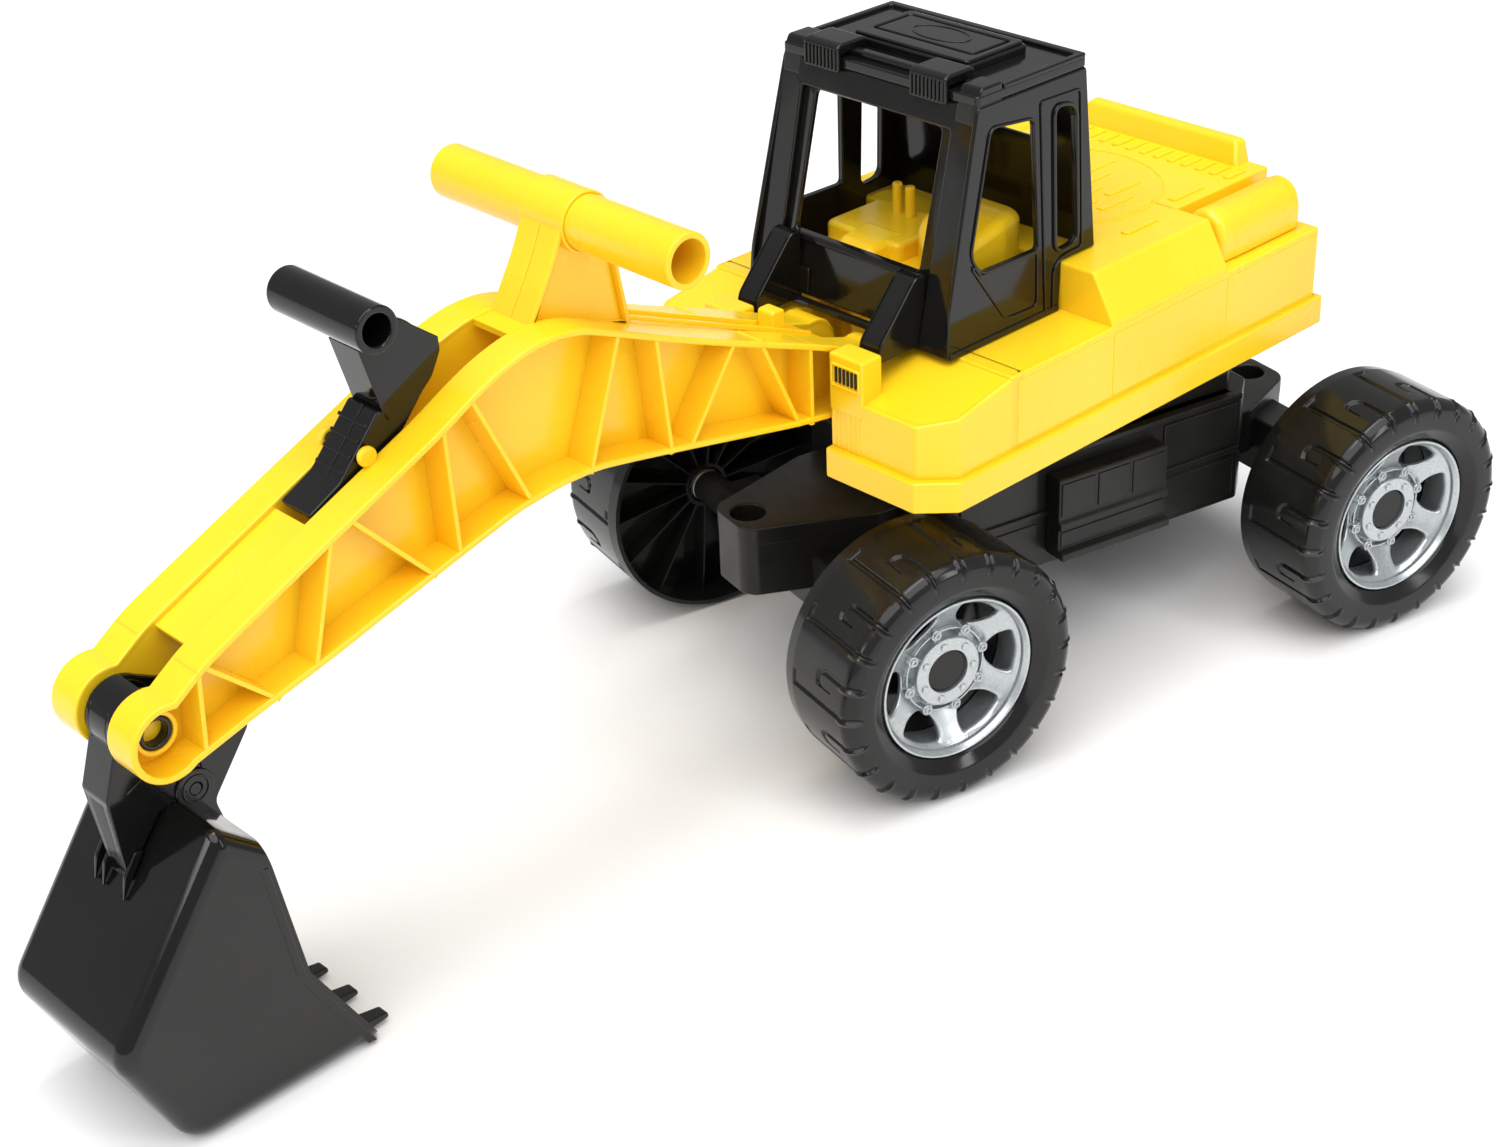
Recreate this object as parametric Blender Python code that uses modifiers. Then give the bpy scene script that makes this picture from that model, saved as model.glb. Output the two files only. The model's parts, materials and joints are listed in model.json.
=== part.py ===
"""Toy excavator: a wheeled toy digger with a slewing house, a lifting boom and a bucket worked by a lever.

All sizes are millimetres. A place is (side, forward, up): side is towards the machine's left (+X),
forward is -Y and up is +Z, measured from the ground point under the slew axis. The upper works are drawn
straight ahead in the same way, and their empty turns them to the rest angle.
"""
import bpy
import bmesh
import math
from mathutils import Matrix, Vector

MM = 0.001

# Driving dimensions
WHEEL_RADIUS = 65.0
WHEEL_BASE = 279.6
WHEELS_OUT = 140.15      # from the middle of the machine to the outer face of a tyre
REST_TURN = 13.0         # degrees the house stands turned to its left
GAP = 0.3                # between pieces that touch
WALL = 3.0               # moulded walls

AXLE_UP = WHEEL_RADIUS
FRAME_SIDE = 62.0        # half width of the undercarriage
FRAME_TOP = 131.0
SKIRT_LOW = 154.0        # underside of the house
SKIRT_TOP = 169.5
DECK_TOP = 207.0         # deck around the cab
ENGINE_TOP = 231.0       # raised deck behind the cab
DECK_FRONT = 54.6        # front edge of the raised deck
SKIRT_SIDE = 101.4
HOUSE_SIDE = 98.0
SLOT_SIDE = 31.0         # half width of the boom's slot
BOOM_SIDE = 29.2
CHEEK_IN = 11.3          # half width of the space between the boom's cheeks
PIN_RADIUS = 4.0         # of the boom's pin
LEVER_PIN_RADIUS = 3.5
ROD_PIN_RADIUS = 2.5

SLEW = (0.0, 0.0, 0.0)
BOOM_PIVOT = (0.0, 145.0, 195.0)
BUCKET_PIVOT = (0.0, 532.8, 176.5)
ARM_PIN = (0.0, 516.5, 138.6)
LEVER_PIVOT = (0.0, 419.0, 249.6)
# The rear pin makes lever, rod and arm a parallelogram with the bucket's pivot.
LEVER_PIN = tuple(a + b - c for a, b, c in zip(LEVER_PIVOT, ARM_PIN, BUCKET_PIVOT))

BLACK = (0.012, 0.012, 0.013)
YELLOW = (0.95, 0.62, 0.01)
SILVER = (0.48, 0.50, 0.52)
STEEL = (0.60, 0.60, 0.60)

for old in list(bpy.data.objects):
    bpy.data.objects.remove(old, do_unlink=True)

parts = bpy.data.collections.new("toy_excavator")
cutters = bpy.data.collections.new("cutters")
bpy.context.scene.collection.children.link(parts)
bpy.context.scene.collection.children.link(cutters)
cutters.hide_render = True
loose = []               # made since the last piece was hung on its empty


# Shapes

def new_object(name, mesh):
    obj = bpy.data.objects.new(name, mesh)
    parts.objects.link(obj)
    loose.append(obj)
    return obj


def from_bmesh(name, bm):
    mesh = bpy.data.meshes.new(name)
    bm.to_mesh(mesh)
    bm.free()
    return new_object(name, mesh)


def world(side, forward, up):
    return Vector((side, -forward, up)) * MM


def block(name, low, high):
    """A box between two corners."""
    bm = bmesh.new()
    bmesh.ops.create_cube(bm, size=1.0)
    a, b = world(*low), world(*high)
    size = Vector(abs(q - p) for p, q in zip(a, b))
    bmesh.ops.scale(bm, vec=size, verts=bm.verts)
    bmesh.ops.translate(bm, vec=(a + b) / 2, verts=bm.verts)
    return from_bmesh(name, bm)


def bar(name, radius, start, end, sides=16, end_radius=None):
    """A round bar from one place to another, tapered when it has an end radius."""
    a, b = world(*start), world(*end)
    bm = bmesh.new()
    second = radius if end_radius is None else end_radius
    bmesh.ops.create_cone(bm, cap_ends=True, segments=sides, radius1=radius * MM, radius2=second * MM,
                          depth=(b - a).length)
    turn = Vector((0, 0, 1)).rotation_difference(b - a).to_matrix().to_4x4()
    bmesh.ops.transform(bm, matrix=Matrix.Translation((a + b) / 2) @ turn, verts=bm.verts)
    return from_bmesh(name, bm)


def slab(name, outlines, low, high, along):
    """Flat outlines given a thickness from low to high.

    Along "side" an outline is (forward, up), along "forward" it is (side, up), along "up" it is
    (side, forward). An outline inside another one is a hole.
    """
    curve = bpy.data.curves.new(name, "CURVE")
    curve.dimensions = "2D"
    curve.fill_mode = "BOTH"
    curve.extrude = (high - low) / 2 * MM
    for outline in outlines:
        spline = curve.splines.new("POLY")
        spline.points.add(len(outline) - 1)
        for point, (p, q) in zip(spline.points, outline):
            point.co = (p * MM, q * MM, 0, 1)
        spline.use_cyclic_u = True
    axes = {
        "side": (world(0, 1, 0), world(0, 0, 1), world(-1, 0, 0)),
        "forward": (world(1, 0, 0), world(0, 0, 1), world(0, 1, 0)),
        "up": (world(1, 0, 0), world(0, 1, 0), world(0, 0, -1)),
    }[along]
    place = Matrix([axis / MM for axis in axes]).transposed().to_4x4()
    middle = (low + high) / 2
    centre = {"side": (middle, 0, 0), "forward": (0, middle, 0), "up": (0, 0, middle)}[along]
    place.translation = world(*centre)
    guide = bpy.data.objects.new(name, curve)
    bpy.context.scene.collection.objects.link(guide)
    evaluated = guide.evaluated_get(bpy.context.evaluated_depsgraph_get())
    mesh = bpy.data.meshes.new_from_object(evaluated)
    bpy.data.objects.remove(guide)
    mesh.transform(place)
    bm = bmesh.new()
    bm.from_mesh(mesh)
    bmesh.ops.remove_doubles(bm, verts=bm.verts, dist=0.00001)
    bmesh.ops.recalc_face_normals(bm, faces=bm.faces)
    return from_bmesh(name, bm)


def turned(name, profile, sides=32):
    """A closed profile of (radius, height) turned about Z; it runs down its outer side."""
    mesh = bpy.data.meshes.new(name)
    count = len(profile)
    edges = [(i, (i + 1) % count) for i in range(count)]
    mesh.from_pydata([(r * MM, 0, h * MM) for r, h in profile], edges, [])
    obj = new_object(name, mesh)
    screw = obj.modifiers.new("Turn", "SCREW")
    screw.axis = "Z"
    screw.steps = screw.render_steps = sides
    screw.use_merge_vertices = True
    screw.merge_threshold = 0.00001
    return obj


def arc(forward, up, radius, first, last, count=8):
    """Points on a round stretch, from the first angle to the last, in degrees from forward."""
    steps = [math.radians(first + (last - first) * i / (count - 1)) for i in range(count)]
    return [(forward + radius * math.cos(a), up + radius * math.sin(a)) for a in steps]


def both_sides(outline):
    """A plan or front outline completed by its mirror image across the middle."""
    return outline + [(-side, other) for side, other in reversed(outline)]


def combine(target, tools, operation):
    for tool in tools:
        modifier = target.modifiers.new(tool.name, "BOOLEAN")
        modifier.operation = operation
        modifier.solver = "EXACT"
        modifier.object = tool
        parts.objects.unlink(tool)
        cutters.objects.link(tool)
        tool.hide_render = True
        tool.display_type = "WIRE"
    return target


def cut(target, *tools):
    return combine(target, tools, "DIFFERENCE")


def join(target, *tools):
    return combine(target, tools, "UNION")


def common(target, *tools):
    return combine(target, tools, "INTERSECT")


def paint(name, colour, roughness, metallic=0.0):
    material = bpy.data.materials.new(name)
    material.use_nodes = True
    shader = material.node_tree.nodes["Principled BSDF"]
    shader.inputs["Base Color"].default_value = (*colour, 1)
    shader.inputs["Roughness"].default_value = roughness
    shader.inputs["Metallic"].default_value = metallic
    return material


def discard(obj):
    """Removes a used tool, and the tools that shaped it."""
    tools = [modifier.object for modifier in obj.modifiers if modifier.type == "BOOLEAN"]
    if obj in loose:
        loose.remove(obj)
    bpy.data.objects.remove(obj)
    for tool in tools:
        discard(tool)


def settle(obj):
    """Applies an object's modifiers while every piece still stands untransformed, so the cuts are exact."""
    bpy.context.view_layer.update()
    evaluated = obj.evaluated_get(bpy.context.evaluated_depsgraph_get())
    mesh = bpy.data.meshes.new_from_object(evaluated)
    tools = [modifier.object for modifier in obj.modifiers if modifier.type == "BOOLEAN"]
    bm = bmesh.new()
    bm.from_mesh(mesh)
    bmesh.ops.remove_doubles(bm, verts=bm.verts, dist=0.00001)
    bmesh.ops.dissolve_degenerate(bm, edges=bm.edges, dist=0.00001)
    slits = [edge for edge in bm.edges if len(edge.link_faces) == 1]
    bmesh.ops.holes_fill(bm, edges=slits, sides=0)
    bmesh.ops.triangulate(bm, faces=bm.faces)
    bm.to_mesh(mesh)
    bm.free()
    obj.modifiers.clear()
    obj.data = mesh
    mesh.name = obj.name
    for tool in tools:
        discard(tool)
    return obj


def finish(obj, colour, roughness=0.35, metallic=0.0):
    settle(obj)
    obj.data.materials.append(paint(obj.name, colour, roughness, metallic))
    obj.data.shade_smooth()
    obj.data.set_sharp_from_angle(angle=math.radians(35))


def pivot(name, place, parent, parent_place=SLEW, turn=0.0):
    """An empty on a joint's axis."""
    empty = bpy.data.objects.new(name, None)
    bpy.context.scene.collection.objects.link(empty)
    empty.parent = parent
    empty.location = world(*place) - world(*parent_place)
    empty.rotation_euler.z = math.radians(turn)
    return empty


def hang(empty, place=SLEW):
    """Hangs what was made since the last call on an empty that stands at this place."""
    for obj in loose:
        obj.parent = empty
        obj.location = -world(*place)
    loose.clear()


# Undercarriage

NOSE_LOW, NOSE_TOP = 66.0, 104.0
FRAME_FRONT = 104.0      # half length of the frame's box
BOX_SIDE = 73.0          # outer face of a side box
BOX_LENGTH = 69.0
AXLE_RADIUS = 3.0
CARRIER_END = 99.4       # outer end of the frame's axle tube


def undercarriage_frame():
    box_plan = [(FRAME_SIDE, -92), (FRAME_SIDE, 92), (50, FRAME_FRONT)]
    frame = slab("chassis_frame", [both_sides([(50, -FRAME_FRONT)] + box_plan)], 58, 121, "up")
    top_plan = both_sides([(44, -98), (55, -88), (55, 88), (44, 98)])
    nose_plan = both_sides([(38, 100), (37, 121), (17, 180), (11, 184)])
    tail_plan = both_sides([(38, -100), (37, -121), (17, -161), (11, -165)])
    join(frame, slab("frame_top", [top_plan], 120, FRAME_TOP, "up"),
         slab("front_nose", [nose_plan], NOSE_LOW, NOSE_TOP, "up"),
         slab("rear_nose", [tail_plan], NOSE_LOW, NOSE_TOP - 12, "up"))
    for up, out, height in ((118, 64, 3), (87, 63.5, 3)):
        join(frame, slab("ledge", [both_sides([(out, -92), (out, 92)])], up, up + height, "up"))
    for forward in (WHEEL_BASE / 2, -WHEEL_BASE / 2):
        beam = slab("axle_beam", [[(forward - 12, 52), (forward + 12, 52), (forward + 12, 84),
                                   (forward - 12, 84)]], -66, 66, "side")
        ends = (-CARRIER_END, forward, AXLE_UP), (CARRIER_END, forward, AXLE_UP)
        join(frame, beam, bar("axle_tube", 9, *ends))
    for left, right in ((-58, -1.5), (1.5, 58)):
        for rear, front in ((-98, -36.5), (-33.5, 33.5), (36.5, 98)):
            cut(frame, block("frame_hollow", (left, rear, 50), (right, front, 116)))
    cut(frame, block("kingpin_well", (-22, -22, 50), (22, 22, 127)))
    for forward in (172.5, -151.0):
        cut(frame, bar("tow_hole", 8, (0, forward, 50), (0, forward, 120)))
    for forward in (WHEEL_BASE / 2, -WHEEL_BASE / 2):
        ends = (-110, forward, AXLE_UP), (110, forward, AXLE_UP)
        cut(frame, bar("axle_bore", AXLE_RADIUS + GAP, *ends, 20))
    cut(frame, bar("kingpin_bore", 8.3, (0, 0, 110), (0, 0, 140)))
    finish(frame, BLACK, 0.45)


def side_box(name, sign):
    face = BOX_SIDE
    outline = [(64.2, 66), (77, 66), (77, 70), (face, 71.5), (face, 82), (75, 83), (75, 86.5), (face, 88),
               (face, 110), (72, 111), (64.2, 111)]
    end_view = [(sign * side, up) for side, up in outline]
    box = slab(name, [end_view], -BOX_LENGTH / 2, BOX_LENGTH / 2, "forward")
    finish(box, BLACK, 0.45)


def slew_pieces():
    low, high = FRAME_TOP + GAP, SKIRT_LOW - 2 * GAP
    ring = turned("slew_ring", [(48, high), (48, 133), (50, low), (36, low), (36, high)])
    finish(ring, BLACK, 0.5)
    pin = turned("kingpin", [(13, 163.5), (14, 162.5), (14, 159.2), (8, 159.2), (8, 122), (7, 120),
                             (1.5, 120), (1.5, 163.5)], 24)
    finish(pin, BLACK, 0.5)
    washer = turned("kingpin_washer", [(15, 126.6), (15, 123.6), (8.3, 123.6), (8.3, 126.6)], 24)
    finish(washer, STEEL, 0.35, 0.9)


# Wheels, drawn about Z with the outer face up and hung with that face outwards

TYRE_IN = 85.3           # plane of the tyre's open inner side
SHOULDER = 134.15
RIM_RADIUS = 42.0
RIM_FACE = 136.0
WINDOWS = 6
WINDOW_TURN = 31.0      # degrees, how far the windows stand turned
CAP_RADIUS = 10.9
CAP_FACE = 126.15


def tyre():
    r = WHEEL_RADIUS
    bore = RIM_RADIUS + 0.4
    outer = [(r - 6, WHEELS_OUT - 1), (r, SHOULDER - 3), (r, 92), (r - 0.8, TYRE_IN)]
    inner = [(r - 3.2, TYRE_IN), (r - 2.6, SHOULDER - 4), (r - 7, WHEELS_OUT - 4), (45, 133), (45, 116)]
    lip = [(bore, 116), (bore, RIM_FACE - 2), (44.5, WHEELS_OUT - 3), (49.5, WHEELS_OUT)]
    return turned("tyre", outer + inner + lip, 28)


def rim():
    """A dished rim: flange, barrel, disc with windows, and a plate and boss about the axle."""
    bore = AXLE_RADIUS + GAP
    seat = CAP_RADIUS + GAP
    profile = [(RIM_RADIUS, RIM_FACE), (RIM_RADIUS, 113), (39.6, 113), (39.6, 126.5), (24, 122),
               (9, 118), (9, CARRIER_END + 0.4), (bore, CARRIER_END + 0.4), (bore, 119.6),
               (seat, 119.6), (seat, 127.7), (18, 127.7), (24, 124.8), (38, 130.5), (39.8, RIM_FACE)]
    dish = turned("rim", profile, 24)
    shield = [(36, -17), (36, 17), (30, 14), (23.2, 0), (30, -14)]
    windows = []
    for number in range(WINDOWS):
        middle = math.radians(360 / WINDOWS * number + WINDOW_TURN)
        windows.append([(r * math.cos(middle + math.radians(a)), r * math.sin(middle + math.radians(a)))
                        for r, a in shield])
    cut(dish, slab("rim_windows", windows, 110, 145, "up"))
    return dish


def hub_cap():
    return turned("cap", [(9.6, CAP_FACE), (CAP_RADIUS, CAP_FACE - 0.7), (CAP_RADIUS, 123.6), (1, 123.6),
                          (1, CAP_FACE)], 16)


def wheels(root):
    patterns = {"tyre": (settle(tyre()), BLACK, 0.3, 0.0), "rim": (settle(rim()), SILVER, 0.35, 0.6),
                "hub_cap": (settle(hub_cap()), BLACK, 0.5, 0.0)}
    for end, forward in (("front", WHEEL_BASE / 2), ("rear", -WHEEL_BASE / 2)):
        for hand, sign in (("left", 1), ("right", -1)):
            place = (0, forward, AXLE_UP)
            hub = pivot(f"wheel_{end}_{hand}_spin", place, root)
            for kind, (pattern, colour, roughness, metallic) in patterns.items():
                obj = bpy.data.objects.new(f"{kind}_{end}_{hand}", pattern.data.copy())
                parts.objects.link(obj)
                obj.parent = hub
                obj.rotation_euler = (0, sign * math.pi / 2, 0)
                finish(obj, colour, roughness, metallic)
    for pattern, *rest in patterns.values():
        discard(pattern)


def axle(name, forward):
    """A steel rod with a push nut at each end, under the caps."""
    rod = bar(name, AXLE_RADIUS, (-123, forward, AXLE_UP), (123, forward, AXLE_UP), 12)
    for sign in (-1, 1):
        faces = (sign * 120.2, forward, AXLE_UP), (sign * 121.6, forward, AXLE_UP)
        join(rod, bar("push_nut", 6.5, *faces, 12))
    finish(rod, STEEL, 0.3, 1.0)


# House

def plan_of_house(side, front, rear, chamfer):
    return both_sides([(side, rear), (side, front - chamfer), (side - chamfer, front)])


def house_shell():
    skirt_plan = plan_of_house(SKIRT_SIDE, 181.9, -111.7, 15.2)
    skirt = slab("house_shell", [skirt_plan], SKIRT_LOW, SKIRT_TOP, "up")
    body = slab("house_body", [plan_of_house(HOUSE_SIDE, 178, -108.6, 14)], SKIRT_TOP - 1, 215, "up")
    profile = [(-112, 160), (182, 160), (182, 194), (178, 195.5), (128, DECK_TOP), (-112, DECK_TOP)]
    common(body, slab("house_profile", [profile], -110, 110, "side"))
    deck_ends = both_sides([(97, DECK_TOP - 2), (97, DECK_TOP + 2), (82, ENGINE_TOP)])
    deck = slab("engine_deck", [deck_ends], -108.6, 60, "forward")
    slope = [(-112, 200), (57.3, 200), (57, DECK_TOP), (DECK_FRONT, ENGINE_TOP), (-112, ENGINE_TOP)]
    common(deck, slab("deck_slope", [slope], -110, 110, "side"))
    for sign in (-1, 1):
        cut(deck, block("deck_notch", (sign * 64.5, -33, DECK_TOP), (sign * 110, -120, 250)))
    join(skirt, body, deck)
    rear_bar = [(-110, ENGINE_TOP - 1), (-110, 243), (-101, 243), (-92, ENGINE_TOP - 1)]
    join(skirt, slab("rear_bar", [rear_bar], -46, 46, "side"))
    for sign in (-1, 1):
        join(skirt, block("front_pillar", (sign * SLOT_SIDE, 166.5, 190), (sign * 52, 178, 217)))
    hollow = slab("house_hollow", [plan_of_house(HOUSE_SIDE - WALL, 175, -105.6, 14)], 150, 203, "up")
    common(hollow, slab("hollow_profile", [[(-112, 140), (182, 140), (182, 190.5), (128, DECK_TOP - WALL),
                                            (-112, DECK_TOP - WALL)]], -110, 110, "side"))
    upper = block("deck_hollow", (-60, -105, 200), (60, 50, ENGINE_TOP - WALL))
    cut(skirt, hollow, upper)
    wall = SLOT_SIDE + WALL
    ribs = [block("slot_wall", (sign * SLOT_SIDE, -107, 156), (sign * wall, 178, 205)) for sign in (-1, 1)]
    for forward in (-55, 0, 96):
        ribs.append(block("cross_rib", (-96.5, forward, 156), (96.5, forward + WALL, 205)))
    ribs.append(bar("slew_plate", 54, (0, 0, SKIRT_LOW), (0, 0, 158.8), 32))
    join(skirt, *ribs)
    cut(skirt, block("boom_slot", (-SLOT_SIDE, 99, 140), (SLOT_SIDE, 190, 250)),
        bar("kingpin_hole", 8.3, (0, 0, 150), (0, 0, 170)),
        bar("kingpin_head_room", 16, (0, 0, 159), (0, 0, 170)),
        bar("boom_pin_hole", PIN_RADIUS + GAP,
            (-wall - 1, *BOOM_PIVOT[1:]), (wall + 1, *BOOM_PIVOT[1:]), 20))
    for sign in (-1, 1):
        cut(skirt, block("grille_recess", (sign * 34, 177, 202.3), (sign * 50.4, 180, 211.7)))
    finish(skirt, YELLOW, 0.3)


def tank(name, sign):
    """A rounded tank at a rear corner of the deck."""
    ends = ([(64.8, DECK_TOP + GAP), (91, DECK_TOP + GAP), (91, 224)]
            + arc(79, 224, 12, 0, 90, 6)[1:] + [(64.8, 234)])
    body = slab(name, [[(sign * side, up) for side, up in ends]], -103, -41, "forward")
    finish(body, YELLOW, 0.3)


def grille(name, sign):
    """A ribbed grille let into the front of a pillar."""
    plate = block(name, (sign * 34.3, 177.3, 202.6), (sign * 50.1, 178.3, 211.4))
    for number in range(6):
        side = 36.0 + 2.4 * number
        join(plate, block("grille_rib", (sign * side, 178, 203.6), (sign * (side + 1.1), 179.3, 210.4)))
    finish(plate, BLACK, 0.5)


CAB_LOW = DECK_TOP + GAP
CAB_TOP = 320.2


def cab():
    """A tapered shell, open below, with a windscreen, two side windows each side and a rear window."""
    outline = [(136, CAB_LOW), (134.4, 228.4), (111.4, CAB_TOP), (37, CAB_TOP), (31, ENGINE_TOP + GAP),
               (DECK_FRONT + 0.5, ENGINE_TOP + GAP), (DECK_FRONT + 2.9, CAB_LOW)]
    cab_side = slab("cab", [outline], -70, 70, "side")
    ends = both_sides([(65.9, 200), (61.4, 326.4)])
    common(cab_side, slab("cab_taper", [ends], 0, 200, "forward"))
    inner = [(133, 190), (131.4, 228.4), (108.8, CAB_TOP - 2.4), (40, CAB_TOP - 2.4), (34.2, 190)]
    hollow = slab("cab_hollow", [inner], -64, 64, "side")
    common(hollow, slab("cab_hollow_taper", [both_sides([(63.2, 190), (58.7, 326.4)])], 0, 200, "forward"))
    cut(cab_side, hollow)
    strut = [(131, 242), (136, 242), (160, 216), (161.5, 209), (131, 209)]
    join(cab_side, slab("strut", [strut], 33.5, 47, "side"), slab("strut", [strut], -47, -33.5, "side"))
    cut(cab_side, block("windscreen", (-40, 100, 241.5), (40, 150, 308)),
        block("rear_window", (-44, 20, 278), (44, 50, 308)),
        block("front_relief", (-31.4, 120, 200), (31.4, 150, 211.5)))
    door = [(103.5, 307.5), (75, 305.5), (73.5, 243), (112.5, 243.5), (118, 252)]
    quarter = [(59.5, 306), (46.5, 304), (45.5, 239), (59, 238)]
    cut(cab_side, slab("door_windows", [door], -80, 80, "side"),
        slab("quarter_windows", [quarter], -80, 80, "side"))
    finish(cab_side, BLACK, 0.25)


def cab_roof():
    """The roof: a cap with a raised panel and a ribbed lamp at each front corner."""
    low = CAB_TOP + GAP
    cap = slab("cab_roof", [both_sides([(61.2, 37), (61.2, 110.6)])], low, 326.4, "up")
    join(cap, slab("roof_panel", [both_sides([(36, 52), (36, 90)])], 325, 331, "up"))
    finish(cap, BLACK, 0.25)


def roof_lamp(name, sign):
    body = block(name, (sign * 22.3, 95, 326.7), (sign * 44.5, 115, 332))
    join(body, block("lamp_face", (sign * 22.3, 112.4, 318.6), (sign * 44.5, 115.6, 329)))
    finish(body, BLACK, 0.35)


def driver_seat():
    """Seat block with a tub, and two pegs as control levers."""
    seat = block("driver_seat", (-48, 60, CAB_LOW), (48, 117, 236))
    tub = slab("seat_tub", [[(side + 18, forward + 86) for side, forward in arc(0, 0, 24, 180, 360, 9)]
                            + [(42, 125), (-6, 125)]], 216, 250, "up")
    cut(seat, tub)
    for side in (-27.5, -19):
        join(seat, bar("peg", 2.2, (side, 70, 230), (side, 70, 250), 12, 1.8))
    finish(seat, YELLOW, 0.35)


# Boom and bucket

BOOM_TOP = [(513, 203.6), (475.5, 220.5), (442, 235.4), (394, 256.5), (362, 272), (346, 276.6),
            (330, 277.4), (316, 274.8), (298, 267.3), (265.7, 253.4), (231, 239.6), (188, 223.2),
            (160, 211.6)]
BOOM_LOW = [(170, 180.4), (197, 184.6), (258, 197.3), (292.5, 204.3), (315, 208.5), (336, 208.6),
            (359, 205.8), (392, 197.4), (454, 180.4), (498, 169.5)]
WEB_OUT = 14.0           # outer face of a cheek
FLANGE = 3.2
GRIP = (0.0, 299.3, 311.8)
GRIP_RADIUS = 12.0
GRIP_HALF = 75.8
TUBE_RADIUS = 7.3        # of the tube that the bucket turns on
# Ribs of the truss, from the top flange to the lower one
RIBS = [((515, 198.8), (517, 166)), ((509.5, 199.6), (482, 174.5)), ((449, 230), (464, 179)),
        ((440, 234), (402, 194)), ((392, 256), (390, 198)), ((377, 262), (350, 208)),
        ((298, 266), (319, 208)), ((278, 258), (273, 201)), ((233, 240), (262, 200)),
        ((218, 235), (195, 185)), ((187, 222), (187, 182))]


def boom_outline():
    tip = arc(*BUCKET_PIVOT[1:], 17.1, 105, -125, 10)
    foot = arc(*BOOM_PIVOT[1:], 13.4, 235, 75, 7)
    return BOOM_TOP[::-1] + tip + BOOM_LOW[::-1] + foot


def inset(outline, depth):
    """The outline moved inwards by a depth, for a pocket."""
    moved = []
    count = len(outline)
    for i in range(count):
        before, here, after = (Vector(outline[j % count]) for j in (i - 1, i, i + 1))
        one = (here - before).normalized()
        two = (after - here).normalized()
        normal = Vector((one.y + two.y, -one.x - two.x)).normalized()
        stretch = 1 / max(0.5, normal.dot(Vector((one.y, -one.x))))
        moved.append(tuple(here + normal * depth * stretch))
    return moved


def strip(start, end, half):
    """A straight band between two points of the side view."""
    a, b = Vector(start), Vector(end)
    across = (b - a).normalized().orthogonal() * half
    return [tuple(a + across), tuple(b + across), tuple(b - across), tuple(a - across)]


def lowered(line, depth):
    return [(forward, up - depth) for forward, up in line]


def boom_side(sign):
    """One side of the boom: a cheek with a flange round it, the ribs of the truss and the pivot bosses."""
    outline = boom_outline()
    low, high = sorted((sign * CHEEK_IN, sign * BOOM_SIDE))
    side = slab("boom_side", [outline], low, high, "side")
    low, high = sorted((sign * WEB_OUT, sign * 35))
    cut(side, slab("side_pocket", [inset(outline, FLANGE)], low, high, "side"))
    low, high = sorted((sign * (WEB_OUT - 0.6), sign * (BOOM_SIDE - 0.5)))
    join(side, slab("truss_ribs", [strip(a, b, 1.2) for a, b in RIBS], low, high, "side"))
    for place, radius, pin in ((BUCKET_PIVOT, 12, TUBE_RADIUS), (BOOM_PIVOT, 8.3, PIN_RADIUS),
                               (LEVER_PIVOT, 9, LEVER_PIN_RADIUS)):
        join(side, bar("pivot_boss", radius, (sign * 12, *place[1:]), (sign * 18, *place[1:]), 14))
        cut(side, bar("pivot_bore", pin + GAP, (sign * 5, *place[1:]), (sign * 21, *place[1:])))
    return settle(side)


def boom():
    """An open truss of two sides, tied by a top plate, a floor near the tip and the upright of the grip."""
    beam = boom_side(1)
    beam.name = "boom"
    top_line = [(342, 276.7)] + [point for point in BOOM_TOP if point[0] < 342]
    join(beam, slab("top_plate", [lowered(top_line, 1.2) + lowered(top_line, 4.2)[::-1]], -12, 12, "side"),
         slab("tip_floor", [[(509, 202.4), (448, 229.7), (448, 226.7), (509, 199.4)]], -12.2, 12.2, "side"),
         slab("grip_upright", [[(280, 257), (333, 273), (311, 312), (289, 312)]], -12.6, 12.6, "side"),
         boom_side(-1),
         bar("grip_collar", GRIP_RADIUS + 2, (-13.8, *GRIP[1:]), (13.8, *GRIP[1:]), 20))
    cut(beam, bar("grip_bore", GRIP_RADIUS + GAP, (-21, *GRIP[1:]), (21, *GRIP[1:]), 20))
    finish(beam, YELLOW, 0.3)


def tube(name, place, radius, bore, half, sides=20):
    """A round tube across the machine; a profile turned about Z is laid along the side axis."""
    obj = bar(name, radius, (-half, *place[1:]), (half, *place[1:]), sides)
    cut(obj, bar(name + "_bore", bore, (-half - 5, *place[1:]), (half + 5, *place[1:]), sides))
    return obj


def headed_pin(name, place, radius, half, head=0.0, sides=12):
    pin = bar(name, radius, (-half, *place[1:]), (half, *place[1:]), sides)
    if head:
        for sign in (-1, 1):
            ends = (sign * half, *place[1:]), (sign * (half + 1.6), *place[1:])
            join(pin, bar("head", head, *ends, sides))
    return pin


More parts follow.
